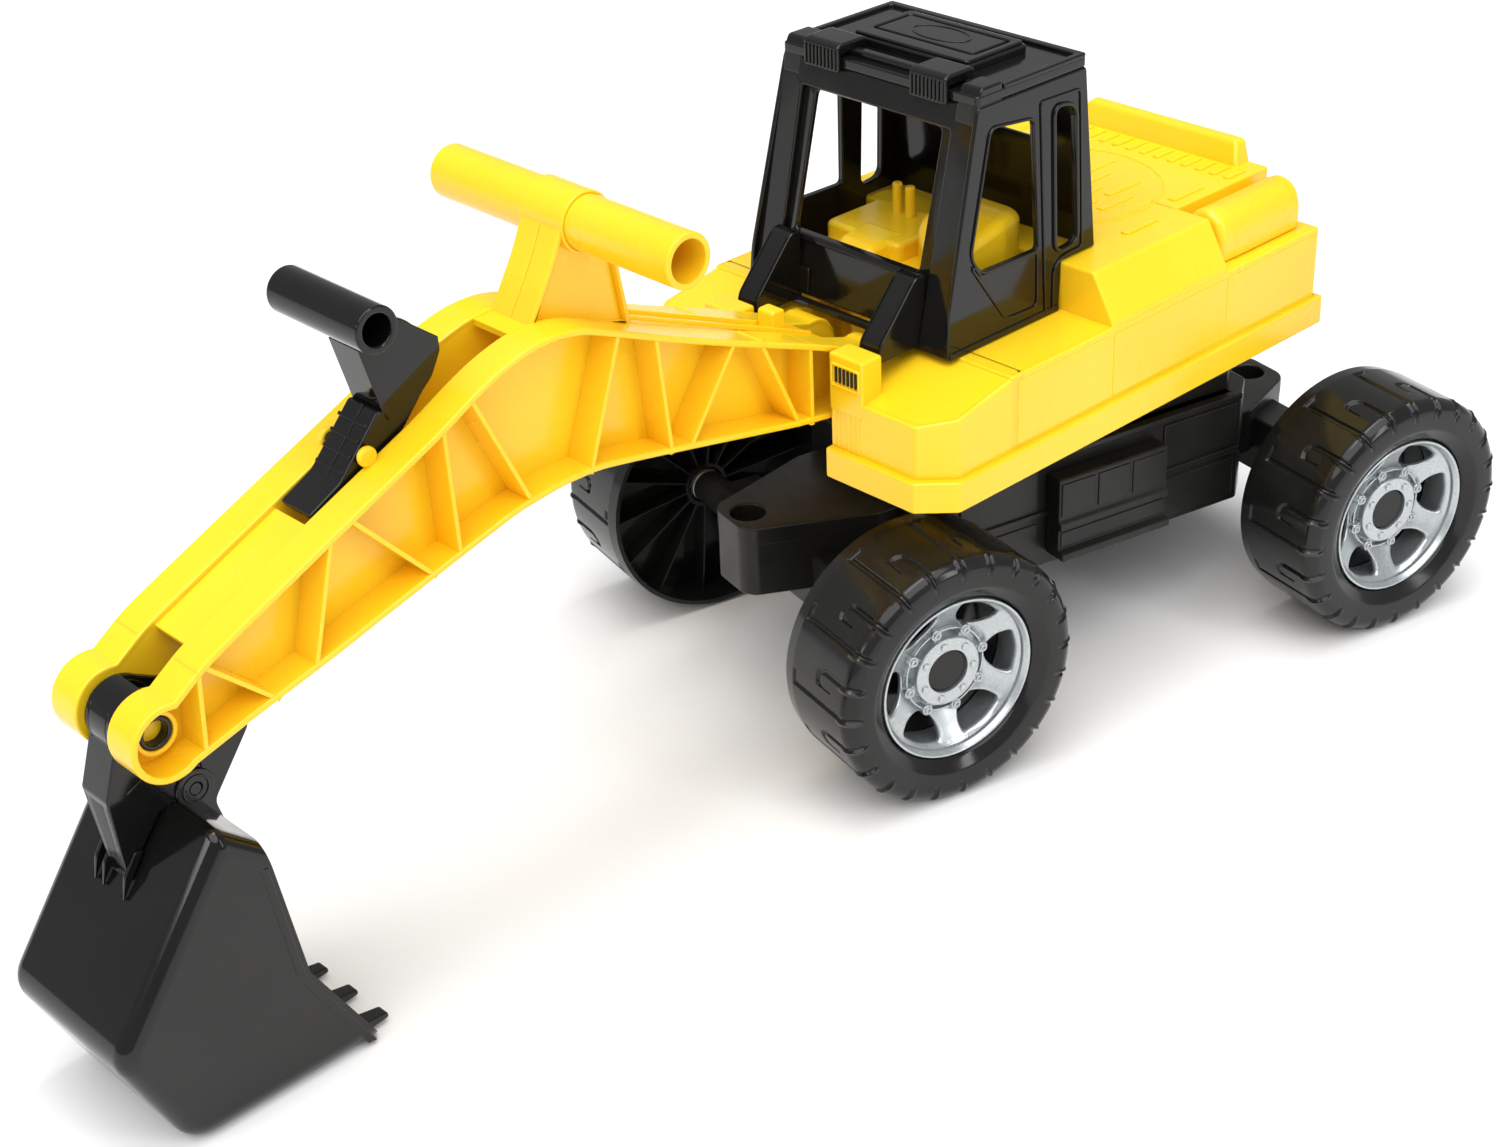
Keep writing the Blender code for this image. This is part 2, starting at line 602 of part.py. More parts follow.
def lever():
    """The bucket's lever: a blade through the slot, a gusset and a cross tube to push and pull."""
    blade = [(446.8, 233), (445, 227.5), (436, 226), (412, 203.5), (401.5, 201.5), (394.5, 207),
             (394.5, 216), (404, 246), (378, 275), (376.5, 284), (392, 299), (410, 310), (420, 305),
             (413, 290), (402, 262), (409, 265), (431, 241)]
    body = slab("lever", [blade], -6.8, 6.8, "side")
    gusset = [(378.5, 273), (376.5, 280), (376.5, 286), (394.3, 300), (412, 300), (413.5, 293), (402, 260)]
    join(body, slab("gusset", [gusset], -10.1, 10.1, "side"))
    boss = bar("lever_boss", 8.2, (-10.7, *LEVER_PIVOT[1:]), (10.7, *LEVER_PIVOT[1:]))
    grip = bar("lever_grip", 9.9, (-29.7, 417.8, 308.6), (29.7, 417.8, 308.6), 20)
    join(body, boss, grip)
    cut(body, bar("grip_bore", 6.6, (-40, 417.8, 308.6), (-12, 417.8, 308.6)),
        bar("grip_bore", 6.6, (12, 417.8, 308.6), (40, 417.8, 308.6)),
        bar("lever_bore", LEVER_PIN_RADIUS + GAP, (-20, *LEVER_PIVOT[1:]), (20, *LEVER_PIVOT[1:])),
        bar("pin_bore", ROD_PIN_RADIUS + GAP, (-20, *LEVER_PIN[1:]), (20, *LEVER_PIN[1:])),
        block("rod_fork", (-3.6, 380, 190), (3.6, 450, 229.4)))
    finish(body, BLACK, 0.3)


def link_rod():
    """A flat cranked rod between lever and arm. Its eye at the arm is wider than the pin."""
    line = [LEVER_PIN[1:], (484, 176.5), ARM_PIN[1:]]
    rod = slab("link_rod", [strip(line[0], line[1], 4)], -2.6, 2.6, "side")
    join(rod, slab("rod_end", [strip(line[1], line[2], 4)], -2.7, 2.7, "side"),
         bar("rod_elbow", 4.6, (-3, *line[1]), (3, *line[1])))
    for place in (line[0], line[2]):
        join(rod, bar("rod_eye", 6.5, (-3.2, *place), (3.2, *place)))
    for place, radius in ((line[0], ROD_PIN_RADIUS + GAP), (line[2], ROD_PIN_RADIUS + 0.9)):
        cut(rod, bar("rod_bore", radius, (-9, *place), (9, *place)))
    finish(rod, BLACK, 0.4)


def bucket_arm():
    """The arm between the boom's cheeks, forked for the rod, with feet on the bucket's back."""
    top = arc(*BUCKET_PIVOT[1:], 14.5, 130, -20, 9)
    outline = top + [(554, 150), (549.8, 109.2), (532.3, 134.2), (526, 136.7), (506.7, 111.5), (504.5, 114),
                     (506, 126), (487.8, 154.5), (487, 164), (497, 176)]
    arm = slab("bucket_arm", [outline], -9.2, 9.2, "side")
    join(arm, bar("arm_pin_boss", 8.6, (-10.4, *ARM_PIN[1:]), (10.4, *ARM_PIN[1:])))
    rod_side = [(470, 127), (470, 200), (521.5, 200), (521.5, 158), (528.5, 148), (527.5, 127)]
    cut(arm, slab("rod_space", [rod_side], -3.8, 3.8, "side"),
        bar("tube_bore", TUBE_RADIUS + GAP, (-20, *BUCKET_PIVOT[1:]), (20, *BUCKET_PIVOT[1:]), 20),
        bar("arm_pin_bore", ROD_PIN_RADIUS + GAP, (-20, *ARM_PIN[1:]), (20, *ARM_PIN[1:])))
    finish(arm, BLACK, 0.3)


BUCKET_SIDE = 42.1
BUCKET_WALL = 2.6


def bucket():
    """An open scoop: back, bottom and two cheeks, with teeth under the lip."""
    back = [(507, 111), (526, 136), (532, 133.5)]
    heel = arc(571, 55, 14.5, 15, -20, 4)
    sole = arc(553, 14, 14, -45, -90, 4)
    outline = back + heel + sole + [(468, 0), (498, 53.5)]
    scoop = slab("bucket", [outline], -BUCKET_SIDE, BUCKET_SIDE, "side")
    hollow = [(500, 108), (509.5, 110.2), (527, 132.2), (530, 130.6)] + arc(571, 55, 12, 15, -20, 4) \
        + arc(553, 14, 11.4, -45, -90, 4) + [(440, 2.6), (440, 60), (480, 70)]
    hollow_side = BUCKET_SIDE - BUCKET_WALL
    cut(scoop, slab("bucket_hollow", [hollow], -hollow_side, hollow_side, "side"))
    teeth = [block("tooth", (side - 4, 461, 1.2), (side + 4, 474, 6.2)) for side in (-33, -11, 11, 33)]
    join(scoop, *teeth)
    finish(scoop, BLACK, 0.2)


def centre_on_footprint(root):
    """Moves the whole toy so that the origin is on the ground, in the middle of its box."""
    bpy.context.view_layer.update()
    graph = bpy.context.evaluated_depsgraph_get()
    corners = []
    for obj in parts.objects:
        mesh = obj.evaluated_get(graph).to_mesh()
        corners += [obj.matrix_world @ vertex.co for vertex in mesh.vertices]
    middle = [(min(c[i] for c in corners) + max(c[i] for c in corners)) / 2 for i in range(2)]
    root.location = (-middle[0], -middle[1], -min(c.z for c in corners))


def main():
    root = pivot("toy", SLEW, None)
    undercarriage_frame()
    side_box("side_box_left", 1)
    side_box("side_box_right", -1)
    slew_pieces()
    axle("front_axle", WHEEL_BASE / 2)
    axle("rear_axle", -WHEEL_BASE / 2)
    hang(root)
    wheels(root)
    turn = pivot("slew_turn", SLEW, root, turn=REST_TURN)
    house_shell()
    tank("tank_left", 1)
    tank("tank_right", -1)
    grille("grille_left", 1)
    grille("grille_right", -1)
    cab()
    cab_roof()
    roof_lamp("roof_lamp_left", 1)
    roof_lamp("roof_lamp_right", -1)
    driver_seat()
    finish(headed_pin("boom_pin", BOOM_PIVOT, PIN_RADIUS, SLOT_SIDE + WALL + 1), STEEL, 0.3, 1.0)
    hang(turn)
    lift = pivot("boom_lift", BOOM_PIVOT, turn)
    boom()
    finish(tube("boom_grip", GRIP, GRIP_RADIUS, 9.4, GRIP_HALF), YELLOW, 0.3)
    finish(headed_pin("lever_pin", LEVER_PIVOT, LEVER_PIN_RADIUS, 17.8), BLACK, 0.4)
    finish(tube("bucket_tube", BUCKET_PIVOT, TUBE_RADIUS, 5.2, 17.6), BLACK, 0.4)
    hang(lift, BOOM_PIVOT)
    swing = pivot("lever_swing", LEVER_PIVOT, lift, BOOM_PIVOT)
    lever()
    finish(headed_pin("rod_pin_rear", LEVER_PIN, ROD_PIN_RADIUS, 7.2), STEEL, 0.3, 1.0)
    hang(swing, LEVER_PIVOT)
    link_turn = pivot("rod_turn", LEVER_PIN, swing, LEVER_PIVOT)
    link_rod()
    hang(link_turn, LEVER_PIN)
    curl = pivot("bucket_curl", BUCKET_PIVOT, lift, BOOM_PIVOT)
    bucket_arm()
    finish(headed_pin("rod_pin_front", ARM_PIN, ROD_PIN_RADIUS, 10.5), STEEL, 0.3, 1.0)
    bucket()
    hang(curl, BUCKET_PIVOT)
    centre_on_footprint(root)
    bpy.context.view_layer.update()
    for empty in (root, turn, lift, swing, link_turn, curl):
        print(empty.name, [round(v, 5) for v in empty.matrix_world.translation])


main()
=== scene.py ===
import bpy
import bmesh
import json
import math
import numpy as np
from mathutils import Matrix, Vector
from mathutils.geometry import tessellate_polygon


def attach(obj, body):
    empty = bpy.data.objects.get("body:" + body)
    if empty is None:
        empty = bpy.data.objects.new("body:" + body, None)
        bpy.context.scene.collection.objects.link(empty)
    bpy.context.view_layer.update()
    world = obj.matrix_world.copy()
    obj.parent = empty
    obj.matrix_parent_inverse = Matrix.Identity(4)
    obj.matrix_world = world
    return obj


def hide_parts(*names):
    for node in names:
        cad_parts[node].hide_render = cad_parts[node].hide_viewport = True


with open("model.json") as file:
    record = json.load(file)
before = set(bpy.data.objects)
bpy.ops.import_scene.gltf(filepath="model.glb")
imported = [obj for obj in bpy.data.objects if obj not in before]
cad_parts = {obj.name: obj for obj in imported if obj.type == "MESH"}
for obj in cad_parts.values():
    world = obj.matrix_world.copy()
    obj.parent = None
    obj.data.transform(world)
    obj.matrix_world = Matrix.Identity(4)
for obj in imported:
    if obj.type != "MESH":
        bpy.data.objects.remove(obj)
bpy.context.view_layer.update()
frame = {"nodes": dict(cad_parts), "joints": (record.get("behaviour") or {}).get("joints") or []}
print("frame loaded:", len(frame["nodes"]), "nodes")

# Sizes below are millimetres, as (side, forward, up): side is towards the machine's left.
# The undercarriage and the upper works each have their own axes, both from the slew's centre on the ground.
hands = (("left", 1), ("right", -1))
jointNamed = {joint["name"]: joint for joint in frame["joints"]}
slewCentre = np.array(jointNamed["slew"]["pos_m"]) * (1, 1, 0)
leftward = -np.array(jointNamed["boom_lift"]["axis"], float)
chassisAxes = np.array([[1, 0, 0], [0, -1, 0], [0, 0, 1]], float)
houseAxes = np.array([leftward, [leftward[1], -leftward[0], 0], [0, 0, 1]])


def houseMillimetres(jointName):
    # where a joint of the upper works stands, as (forward, up)
    place = (np.array(jointNamed[jointName]["pos_m"]) - slewCentre) @ houseAxes.T * 1000
    return float(place[1]), float(place[2])


boomPivot = houseMillimetres("boom_lift")
bucketPivot = houseMillimetres("bucket_curl")
leverPivot = houseMillimetres("lever_swing")
rodRearPin = houseMillimetres("rod_turn")
rodFrontPin = tuple(np.add(rodRearPin, np.subtract(bucketPivot, leverPivot)))


# Shapes. A shell is (points, faces); a piece is made of one or more closed shells.

def gridFaces(rows, columns, wrapRows=False, wrapColumns=False):
    # four corners for each cell of a grid of points, joined up at its ends where it wraps
    i = np.arange(rows if wrapRows else rows - 1)[:, None]
    j = np.arange(columns if wrapColumns else columns - 1)[None, :]
    nextRow, nextColumn = (i + 1) % rows, (j + 1) % columns
    corners = (i * columns + j, i * columns + nextColumn, nextRow * columns + nextColumn,
               nextRow * columns + j)
    return np.stack(corners, -1).reshape(-1, 4)


def unit(vectors):
    return vectors / np.maximum(np.linalg.norm(vectors, axis=-1, keepdims=True), 1e-9)


def rounded(points, radius, steps=4):
    # each corner becomes (1-t)^2 start + 2t(1-t) corner + t^2 end, reaching a radius along both sides
    corner = np.array(points, float)
    radius = np.broadcast_to(np.array(radius, float), len(corner))
    toBefore, toAfter = np.roll(corner, 1, 0) - corner, np.roll(corner, -1, 0) - corner
    shortest = np.minimum(np.linalg.norm(toBefore, axis=1), np.linalg.norm(toAfter, axis=1))
    reach = np.clip(radius, 0.02, 0.45 * shortest)[:, None]
    start, end = corner + unit(toBefore) * reach, corner + unit(toAfter) * reach
    t = np.linspace(0, 1, steps + 1)[None, :, None]
    curve = (1 - t) ** 2 * start[:, None] + 2 * t * (1 - t) * corner[:, None] + t * t * end[:, None]
    return curve.reshape(-1, corner.shape[1])


def inset(outline, depth):
    # every point moves to the left of its two edges by the depth, along their mitre
    line = np.array(outline, float)
    one, two = unit(line - np.roll(line, 1, 0)), unit(np.roll(line, -1, 0) - line)
    left = np.stack([-one[:, 1], one[:, 0]], 1), np.stack([-two[:, 1], two[:, 0]], 1)
    share = 1 + np.sum(left[0] * left[1], 1, keepdims=True)
    return line + (left[0] + left[1]) / np.maximum(share, 0.5) * depth


def oriented(outline, anticlockwise=True):
    # the shoelace sum is positive where an outline runs anticlockwise; otherwise its order is reversed
    line = np.array(outline, float)
    after = np.roll(line, -1, 0)
    area = np.sum(line[:, 0] * after[:, 1] - after[:, 0] * line[:, 1])
    return line if (area > 0) == anticlockwise else line[::-1]


def intoSpace(a, b, level, along):
    # an outline's two coordinates and its level, put in the order (side, forward, up)
    columns = {"side": (level, a, b), "forward": (a, level, b), "up": (a, b, level)}[along]
    return np.stack(np.broadcast_arrays(*columns), -1).reshape(-1, 3).astype(float)


def slab(outlines, low, high, along, edge=0.6, steps=3):
    # outlines given a thickness; along each rim the inset is e(1 - sin a) and the rise e(1 - cos a)
    # along "side" an outline is (forward, up), along "forward" (side, up), along "up" (side, forward)
    if np.ndim(outlines[0][0]) == 0:
        outlines = [outlines]
    lines = [oriented(outline, number == 0) for number, outline in enumerate(outlines)]
    edge = min(edge, (high - low) * 0.49)
    turn = np.linspace(0, np.pi / 2, steps + 1)
    insets = np.concatenate([edge * (1 - np.sin(turn)), (edge * (1 - np.sin(turn)))[::-1]])
    levels = np.concatenate([low + edge * (1 - np.cos(turn)), (high - edge * (1 - np.cos(turn)))[::-1]])
    points, faces, bottom, top, count = [], [], [], [], 0
    for line in lines:
        rows = np.stack([inset(line, depth) for depth in insets])
        points.append(intoSpace(rows[..., 0], rows[..., 1], levels[:, None], along))
        faces += (gridFaces(len(insets), len(line), wrapColumns=True) + count).tolist()
        bottom += range(count, count + len(line))
        count += len(insets) * len(line)
        top += range(count - len(line), count)
    rim = [[Vector((*point, 0)) for point in inset(line, edge)] for line in lines]
    for triangle in tessellate_polygon(rim):
        faces.append([bottom[i] for i in triangle])
        faces.append([top[i] for i in triangle][::-1])
    return np.concatenate(points), faces


def cushioned(corners, reach, low, high, along, edge, steps=6):
    # a slab with deep round rims, by the same inset e(1 - sin a) and rise e(1 - cos a)
    # its corners are inset first and rounded after, so no row folds over
    corners = np.array(corners, float)
    reach = np.broadcast_to(np.array(reach, float), len(corners))
    if not np.array_equal(oriented(corners), corners):
        corners, reach = corners[::-1], reach[::-1]
    turn = np.linspace(0, np.pi / 2, steps + 1)
    depths = edge * (1 - np.sin(turn))
    levels = np.concatenate([low + edge * (1 - np.cos(turn)), (high - edge * (1 - np.cos(turn)))[::-1]])
    rows = [rounded(inset(corners, depth), np.maximum(reach - depth * 0.6, 0.1), 6) for depth in depths]
    rows = np.stack(rows + rows[::-1])
    count = rows.shape[1]
    faces = gridFaces(len(rows), count, wrapColumns=True).tolist()
    for triangle in tessellate_polygon([[Vector((*point, 0)) for point in rows[0]]]):
        faces.append(list(triangle))
        faces.append([i + (len(rows) - 1) * count for i in triangle][::-1])
    return intoSpace(rows[..., 0], rows[..., 1], levels[:, None], along), faces


def lathe(profile, sides, along, at=(0, 0, 0), closed=True):
    # a profile of (radius, height) turned round the axis: (r cos a, r sin a, height)
    line = np.array(profile, float)
    angle = np.arange(sides) * 2 * np.pi / sides
    a, b = line[:, :1] * np.cos(angle), line[:, :1] * np.sin(angle)
    faces = gridFaces(len(line), sides, closed, True).tolist()
    return intoSpace(a, b, line[:, 1:], along) + np.array(at, float), faces


def tubeShell(place, outer, bore, low, high, edge=0.8, sides=64):
    # a ring across the machine, from low to high along the side axis, at (forward, up)
    ring = oblong((bore, low), (outer, high), edge)
    return lathe(ring, sides, "side", (0, *place))


def knob(at, radius, low, high, along="up", edge=0.5, sides=32):
    # a short solid of revolution with a rounded rim, closed at its two poles
    rim = rounded([(radius, low), (radius, high), (0, high), (0, low)], [edge, edge, 0, 0])
    order = np.concatenate([[(0, low)], rim[:len(rim) // 2], [(0, high)]])
    return lathe(order, sides, along, at, closed=False)


def box(low, high, edge=0.6):
    # a block with rounded rims along its height
    return slab(oblong(low[:2], high[:2], edge, 3), low[2], high[2], "up", edge)


def arc(place, radius, first, last, count=12):
    # place + radius (cos a, sin a), from one angle to another in degrees
    angle = np.radians(np.linspace(first, last, count))
    return np.stack([place[0] + radius * np.cos(angle), place[1] + radius * np.sin(angle)], 1)


def oblong(one, other, radius, steps=4):
    # a rounded rectangle between two opposite corners
    return rounded([one, (other[0], one[1]), other, (one[0], other[1])], radius, steps)


def strip(start, end, half):
    # a straight band between two points of an outline's plane
    a, b = np.array(start, float), np.array(end, float)
    along = unit(b - a)
    across = np.array([-along[1], along[0]]) * half
    return [a + across, a - across, b - across, b + across]


def mirrored(shell):
    return shell[0] * (-1, 1, 1), shell[1]


def pair(shell):
    return [shell, mirrored(shell)]


def handed(shells, sign):
    # a left-hand piece's shells, or their mirror image on the right
    return shells if sign > 0 else [mirrored(shell) for shell in shells]


def symmetric(half):
    # a plan or front outline completed by its mirror image
    half = np.array(half, float)
    return np.concatenate([half, (half * (-1, 1))[::-1]])


def merged(shells):
    points, faces, count = [], [], 0
    for shellPoints, shellFaces in shells:
        points.append(shellPoints)
        faces += [[i + count for i in face] for face in shellFaces]
        count += len(shellPoints)
    return np.concatenate(points), faces


def meshOf(name, shells, axes, shift=(0, 0, 0)):
    points, faces = merged(shells)
    mesh = bpy.data.meshes.new(name)
    mesh.from_pydata(((points + shift) @ axes / 1000 + slewCentre).tolist(), [], faces)
    work = bmesh.new()
    work.from_mesh(mesh)
    bmesh.ops.remove_doubles(work, verts=work.verts, dist=1e-7)
    bmesh.ops.recalc_face_normals(work, faces=work.faces)
    work.to_mesh(mesh)
    work.free()
    return mesh


sharpAngle = 42


def makePiece(name, shells, axes, material, body, nodes, shift=(0, 0, 0)):
    # faces that meet at more than the sharp angle keep a crisp line between them
    mesh = meshOf(name, shells, axes, shift)
    mesh.shade_smooth()
    mesh.set_sharp_from_angle(angle=math.radians(sharpAngle))
    mesh.materials.append(material)
    piece = bpy.data.objects.new(name, mesh)
    bpy.context.scene.collection.objects.link(piece)
    weighted = piece.modifiers.new("flatFaces", "WEIGHTED_NORMAL")
    weighted.keep_sharp = True
    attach(piece, body)
    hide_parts(*nodes)
    return piece


def carved(shells, cutters):
    # the shells joined, less the cutters, by exact Booleans on throw-away objects
    solids = []
    for part in (*shells, *cutters):
        solid = bpy.data.objects.new("solid", meshOf("solid", [part], np.eye(3)))
        bpy.context.scene.collection.objects.link(solid)
        solids.append(solid)
    for number, tool in enumerate(solids[1:], 1):
        boolean = solids[0].modifiers.new("carve", "BOOLEAN")
        boolean.operation = "UNION" if number < len(shells) else "DIFFERENCE"
        boolean.solver = "EXACT"
        boolean.object = tool
    bpy.context.view_layer.update()
    result = bpy.data.meshes.new_from_object(solids[0].evaluated_get(bpy.context.evaluated_depsgraph_get()))
    points = np.array([vertex.co for vertex in result.vertices], float)
    faces = [list(polygon.vertices) for polygon in result.polygons]
    for solid in solids:
        bpy.data.objects.remove(solid)
    bpy.data.meshes.remove(result)
    return (points - slewCentre) * 1000, faces


# Materials

def plastic(name, look):
    # colour drifts between two near tones, roughness between two values, and a fine grain lifts the surface
    material = bpy.data.materials.new(name)
    material.use_nodes = True
    nodes, links = material.node_tree.nodes, material.node_tree.links
    shader = nodes["Principled BSDF"]
    place = nodes.new("ShaderNodeTexCoord")
    drift = nodes.new("ShaderNodeTexNoise")
    drift.inputs["Scale"].default_value = look["driftScale"]
    drift.inputs["Detail"].default_value = 4
    tone = nodes.new("ShaderNodeValToRGB")
    tone.color_ramp.elements[0].position = 0.3
    tone.color_ramp.elements[1].position = 0.7
    tone.color_ramp.elements[0].color = (*look["dark"], 1)
    tone.color_ramp.elements[1].color = (*look["light"], 1)
    smear = nodes.new("ShaderNodeTexNoise")
    smear.inputs["Scale"].default_value = look["smearScale"]
    smear.inputs["Detail"].default_value = 6
    polish = nodes.new("ShaderNodeMapRange")
    polish.inputs["From Min"].default_value = 0.35
    polish.inputs["From Max"].default_value = 0.7
    polish.inputs["To Min"].default_value = look["roughness"][0]
    polish.inputs["To Max"].default_value = look["roughness"][1]
    grain = nodes.new("ShaderNodeTexNoise")
    grain.inputs["Scale"].default_value = look["grainScale"]
    grain.inputs["Detail"].default_value = 3
    bump = nodes.new("ShaderNodeBump")
    bump.inputs["Strength"].default_value = look["grain"]
    bump.inputs["Distance"].default_value = 0.0002
    for texture in (drift, smear, grain):
        links.new(place.outputs["Object"], texture.inputs["Vector"])
    links.new(drift.outputs["Fac"], tone.inputs["Fac"])
    links.new(tone.outputs["Color"], shader.inputs["Base Color"])
    links.new(smear.outputs["Fac"], polish.inputs["Value"])
    links.new(polish.outputs["Result"], shader.inputs["Roughness"])
    links.new(grain.outputs["Fac"], bump.inputs["Height"])
    links.new(bump.outputs["Normal"], shader.inputs["Normal"])
    shader.inputs["Metallic"].default_value = look.get("metallic", 0)
    shader.inputs["Specular IOR Level"].default_value = look.get("shine", 0.5)
    shader.inputs["Subsurface Weight"].default_value = look.get("glow", 0)
    shader.inputs["Subsurface Radius"].default_value = (1.0, 0.6, 0.05)
    shader.inputs["Subsurface Scale"].default_value = 0.004
    return material


yellowLook = {"dark": (0.99, 0.60, 0.008), "light": (1.0, 0.66, 0.022), "driftScale": 9, "smearScale": 22,
              "roughness": (0.2, 0.32), "grainScale": 900, "grain": 0.03, "glow": 0.15}
glossLook = {"dark": (0.004, 0.004, 0.004), "light": (0.008, 0.0078, 0.0075), "driftScale": 14,
             "smearScale": 35,
             "roughness": (0.07, 0.15), "grainScale": 1200, "grain": 0.03, "shine": 0.4}
satinLook = {"dark": (0.009, 0.009, 0.0085), "light": (0.018, 0.0175, 0.016), "driftScale": 18,
             "smearScale": 60,
             "roughness": (0.28, 0.4), "grainScale": 1500, "grain": 0.15, "shine": 0.3}
tyreLook = {"dark": (0.007, 0.0075, 0.007), "light": (0.014, 0.0148, 0.014), "driftScale": 20,
            "smearScale": 45,
            "roughness": (0.1, 0.2), "grainScale": 1600, "grain": 0.05, "shine": 0.32}
silverLook = {"dark": (0.44, 0.47, 0.48), "light": (0.55, 0.58, 0.59), "driftScale": 900, "smearScale": 50,
              "roughness": (0.26, 0.34), "grainScale": 2200, "grain": 0.08, "metallic": 0.75}
steelLook = {"dark": (0.5, 0.5, 0.5), "light": (0.62, 0.62, 0.62), "driftScale": 60, "smearScale": 300,
             "roughness": (0.2, 0.4), "grainScale": 900, "grain": 0.1, "metallic": 1}
yellowPlastic = plastic("yellowPlastic", yellowLook)
blackGloss = plastic("blackGloss", glossLook)
blackSatin = plastic("blackSatin", satinLook)
tyrePlastic = plastic("tyrePlastic", tyreLook)
silverPlastic = plastic("silverPlastic", silverLook)
drawnSteel = plastic("drawnSteel", steelLook)
print("materials made")


# Wheels, worked out as (out, rearward, up) round the wheel's own centre

tyreValues = {"radius": 65.0, "face": 140.15, "inner": 85.3, "rim": 42.4, "columns": 720, "pitches": 12,
              "grooveDepth": 1.35, "grooveHalf": 1.0, "lugHeight": 1.0}


def distanceTo(s, x, start, end):
    # how far points (s, x) are from a straight stretch
    a, b = np.array(start, float), np.array(end, float)
    d = b - a
    share = np.clip(((s - a[0]) * d[0] + (x - a[1]) * d[1]) / (d @ d), 0, 1)
    return np.hypot(s - a[0] - share * d[0], x - a[1] - share * d[1])


def treadDepth(angle, x, v):
    # one pitch holds a long groove that ends in a short foot and a groove that ends in a hook
    pitch = 2 * np.pi * v["radius"] / v["pitches"]
    s = np.mod(angle * v["radius"] + pitch / 4, pitch) - pitch / 4
    half = pitch / 2
    longGroove = np.minimum(distanceTo(s, x, (0, 145), (0, 94)), distanceTo(s, x, (0, 94), (-6, 94)))
    hook = distanceTo(s, x, (half, 145), (half, 118))
    bend = arc((half + 4.5, 118), 4.5, 180, 0, 9)
    bend[:, 1] = 118 - (bend[:, 1] - 118)
    for first, second in zip(bend[:-1], bend[1:]):
        hook = np.minimum(hook, distanceTo(s, x, first, second))
    hook = np.minimum(hook, distanceTo(s, x, (half + 9, 118), (half + 9, 124)))
    near = np.minimum(longGroove, hook)
    rib = np.minimum(np.abs(s - 1.6), np.abs(s - half - 1.6))
    shoulder = np.clip((x - 130) / 4, 0, 1)
    groove = np.clip(1.6 - near / v["grooveHalf"], 0, 1) * v["grooveDepth"]
    return groove - np.clip(1.5 - rib / 0.9, 0, 1) * v["lugHeight"] * shoulder


def tyreShell(v):
    r, face = v["radius"], v["face"]
    tread = np.stack([np.full(70, r), np.linspace(130, 92, 70)], 1)
    sidewall = np.stack([np.linspace(49.8, 57, 12),
                         face - 0.25 * (np.linspace(49.8, 57, 12) - 55) ** 2 / 25], 1)
    crown = arc((57.8, 132.9), 7.2, 88, 0, 18)
    inner = [(r - 0.9, v["inner"]), (r - 3.2, v["inner"]), (r - 2.6, 130), (r - 7, face - 4),
             (48, face - 4),
             (45, 133), (45, 116)]
    lip = [(v["rim"], 116), (v["rim"], 133.5), (43.0, 135.6), (44.6, 137.0), (46.6, 138.0), (48.6, 139.4)]
    line = np.concatenate([sidewall, crown, tread, inner, lip])
    angle = np.arange(v["columns"]) * 2 * np.pi / v["columns"]
    radius, x = line[:, :1] + 0 * angle, line[:, 1:] + 0 * angle
    depth = treadDepth(angle[None, :], x, v)
    outside = np.zeros(len(line))
    outside[6:len(sidewall) + len(crown) + len(tread) - 2] = 1
    fade = np.clip((line[:, 0] - 55.5) / 5, 0, 1) * outside
    lean = np.clip((x - 131) / 9, 0, 1) * fade[:, None]          # on the sidewall the marks sink inwards
    radius = radius - depth * fade[:, None] * (1 - 0.75 * lean)
    x = x - depth * lean * 0.8
    points = np.stack([x, radius * np.cos(angle), radius * np.sin(angle)], -1).reshape(-1, 3)
    return points, gridFaces(len(line), v["columns"], True, True).tolist()


rimValues = {"radius": 42.0, "face": 136.0, "windows": 6, "turn": 1.0, "thickness": 2.6,
             "hubRadius": 18.0, "hubFace": 127.65, "lugs": 8, "lugRadius": 21.6, "rivets": 7}


def dishHeight(r):
    # the dish's front: deep round the hub, rising to the flange
    return np.interp(r, [17, 20, 23, 27, 31, 35, 38, 40],
                     [120.9, 121.2, 122.6, 124.9, 127.0, 129.3, 130.8, 132.4])


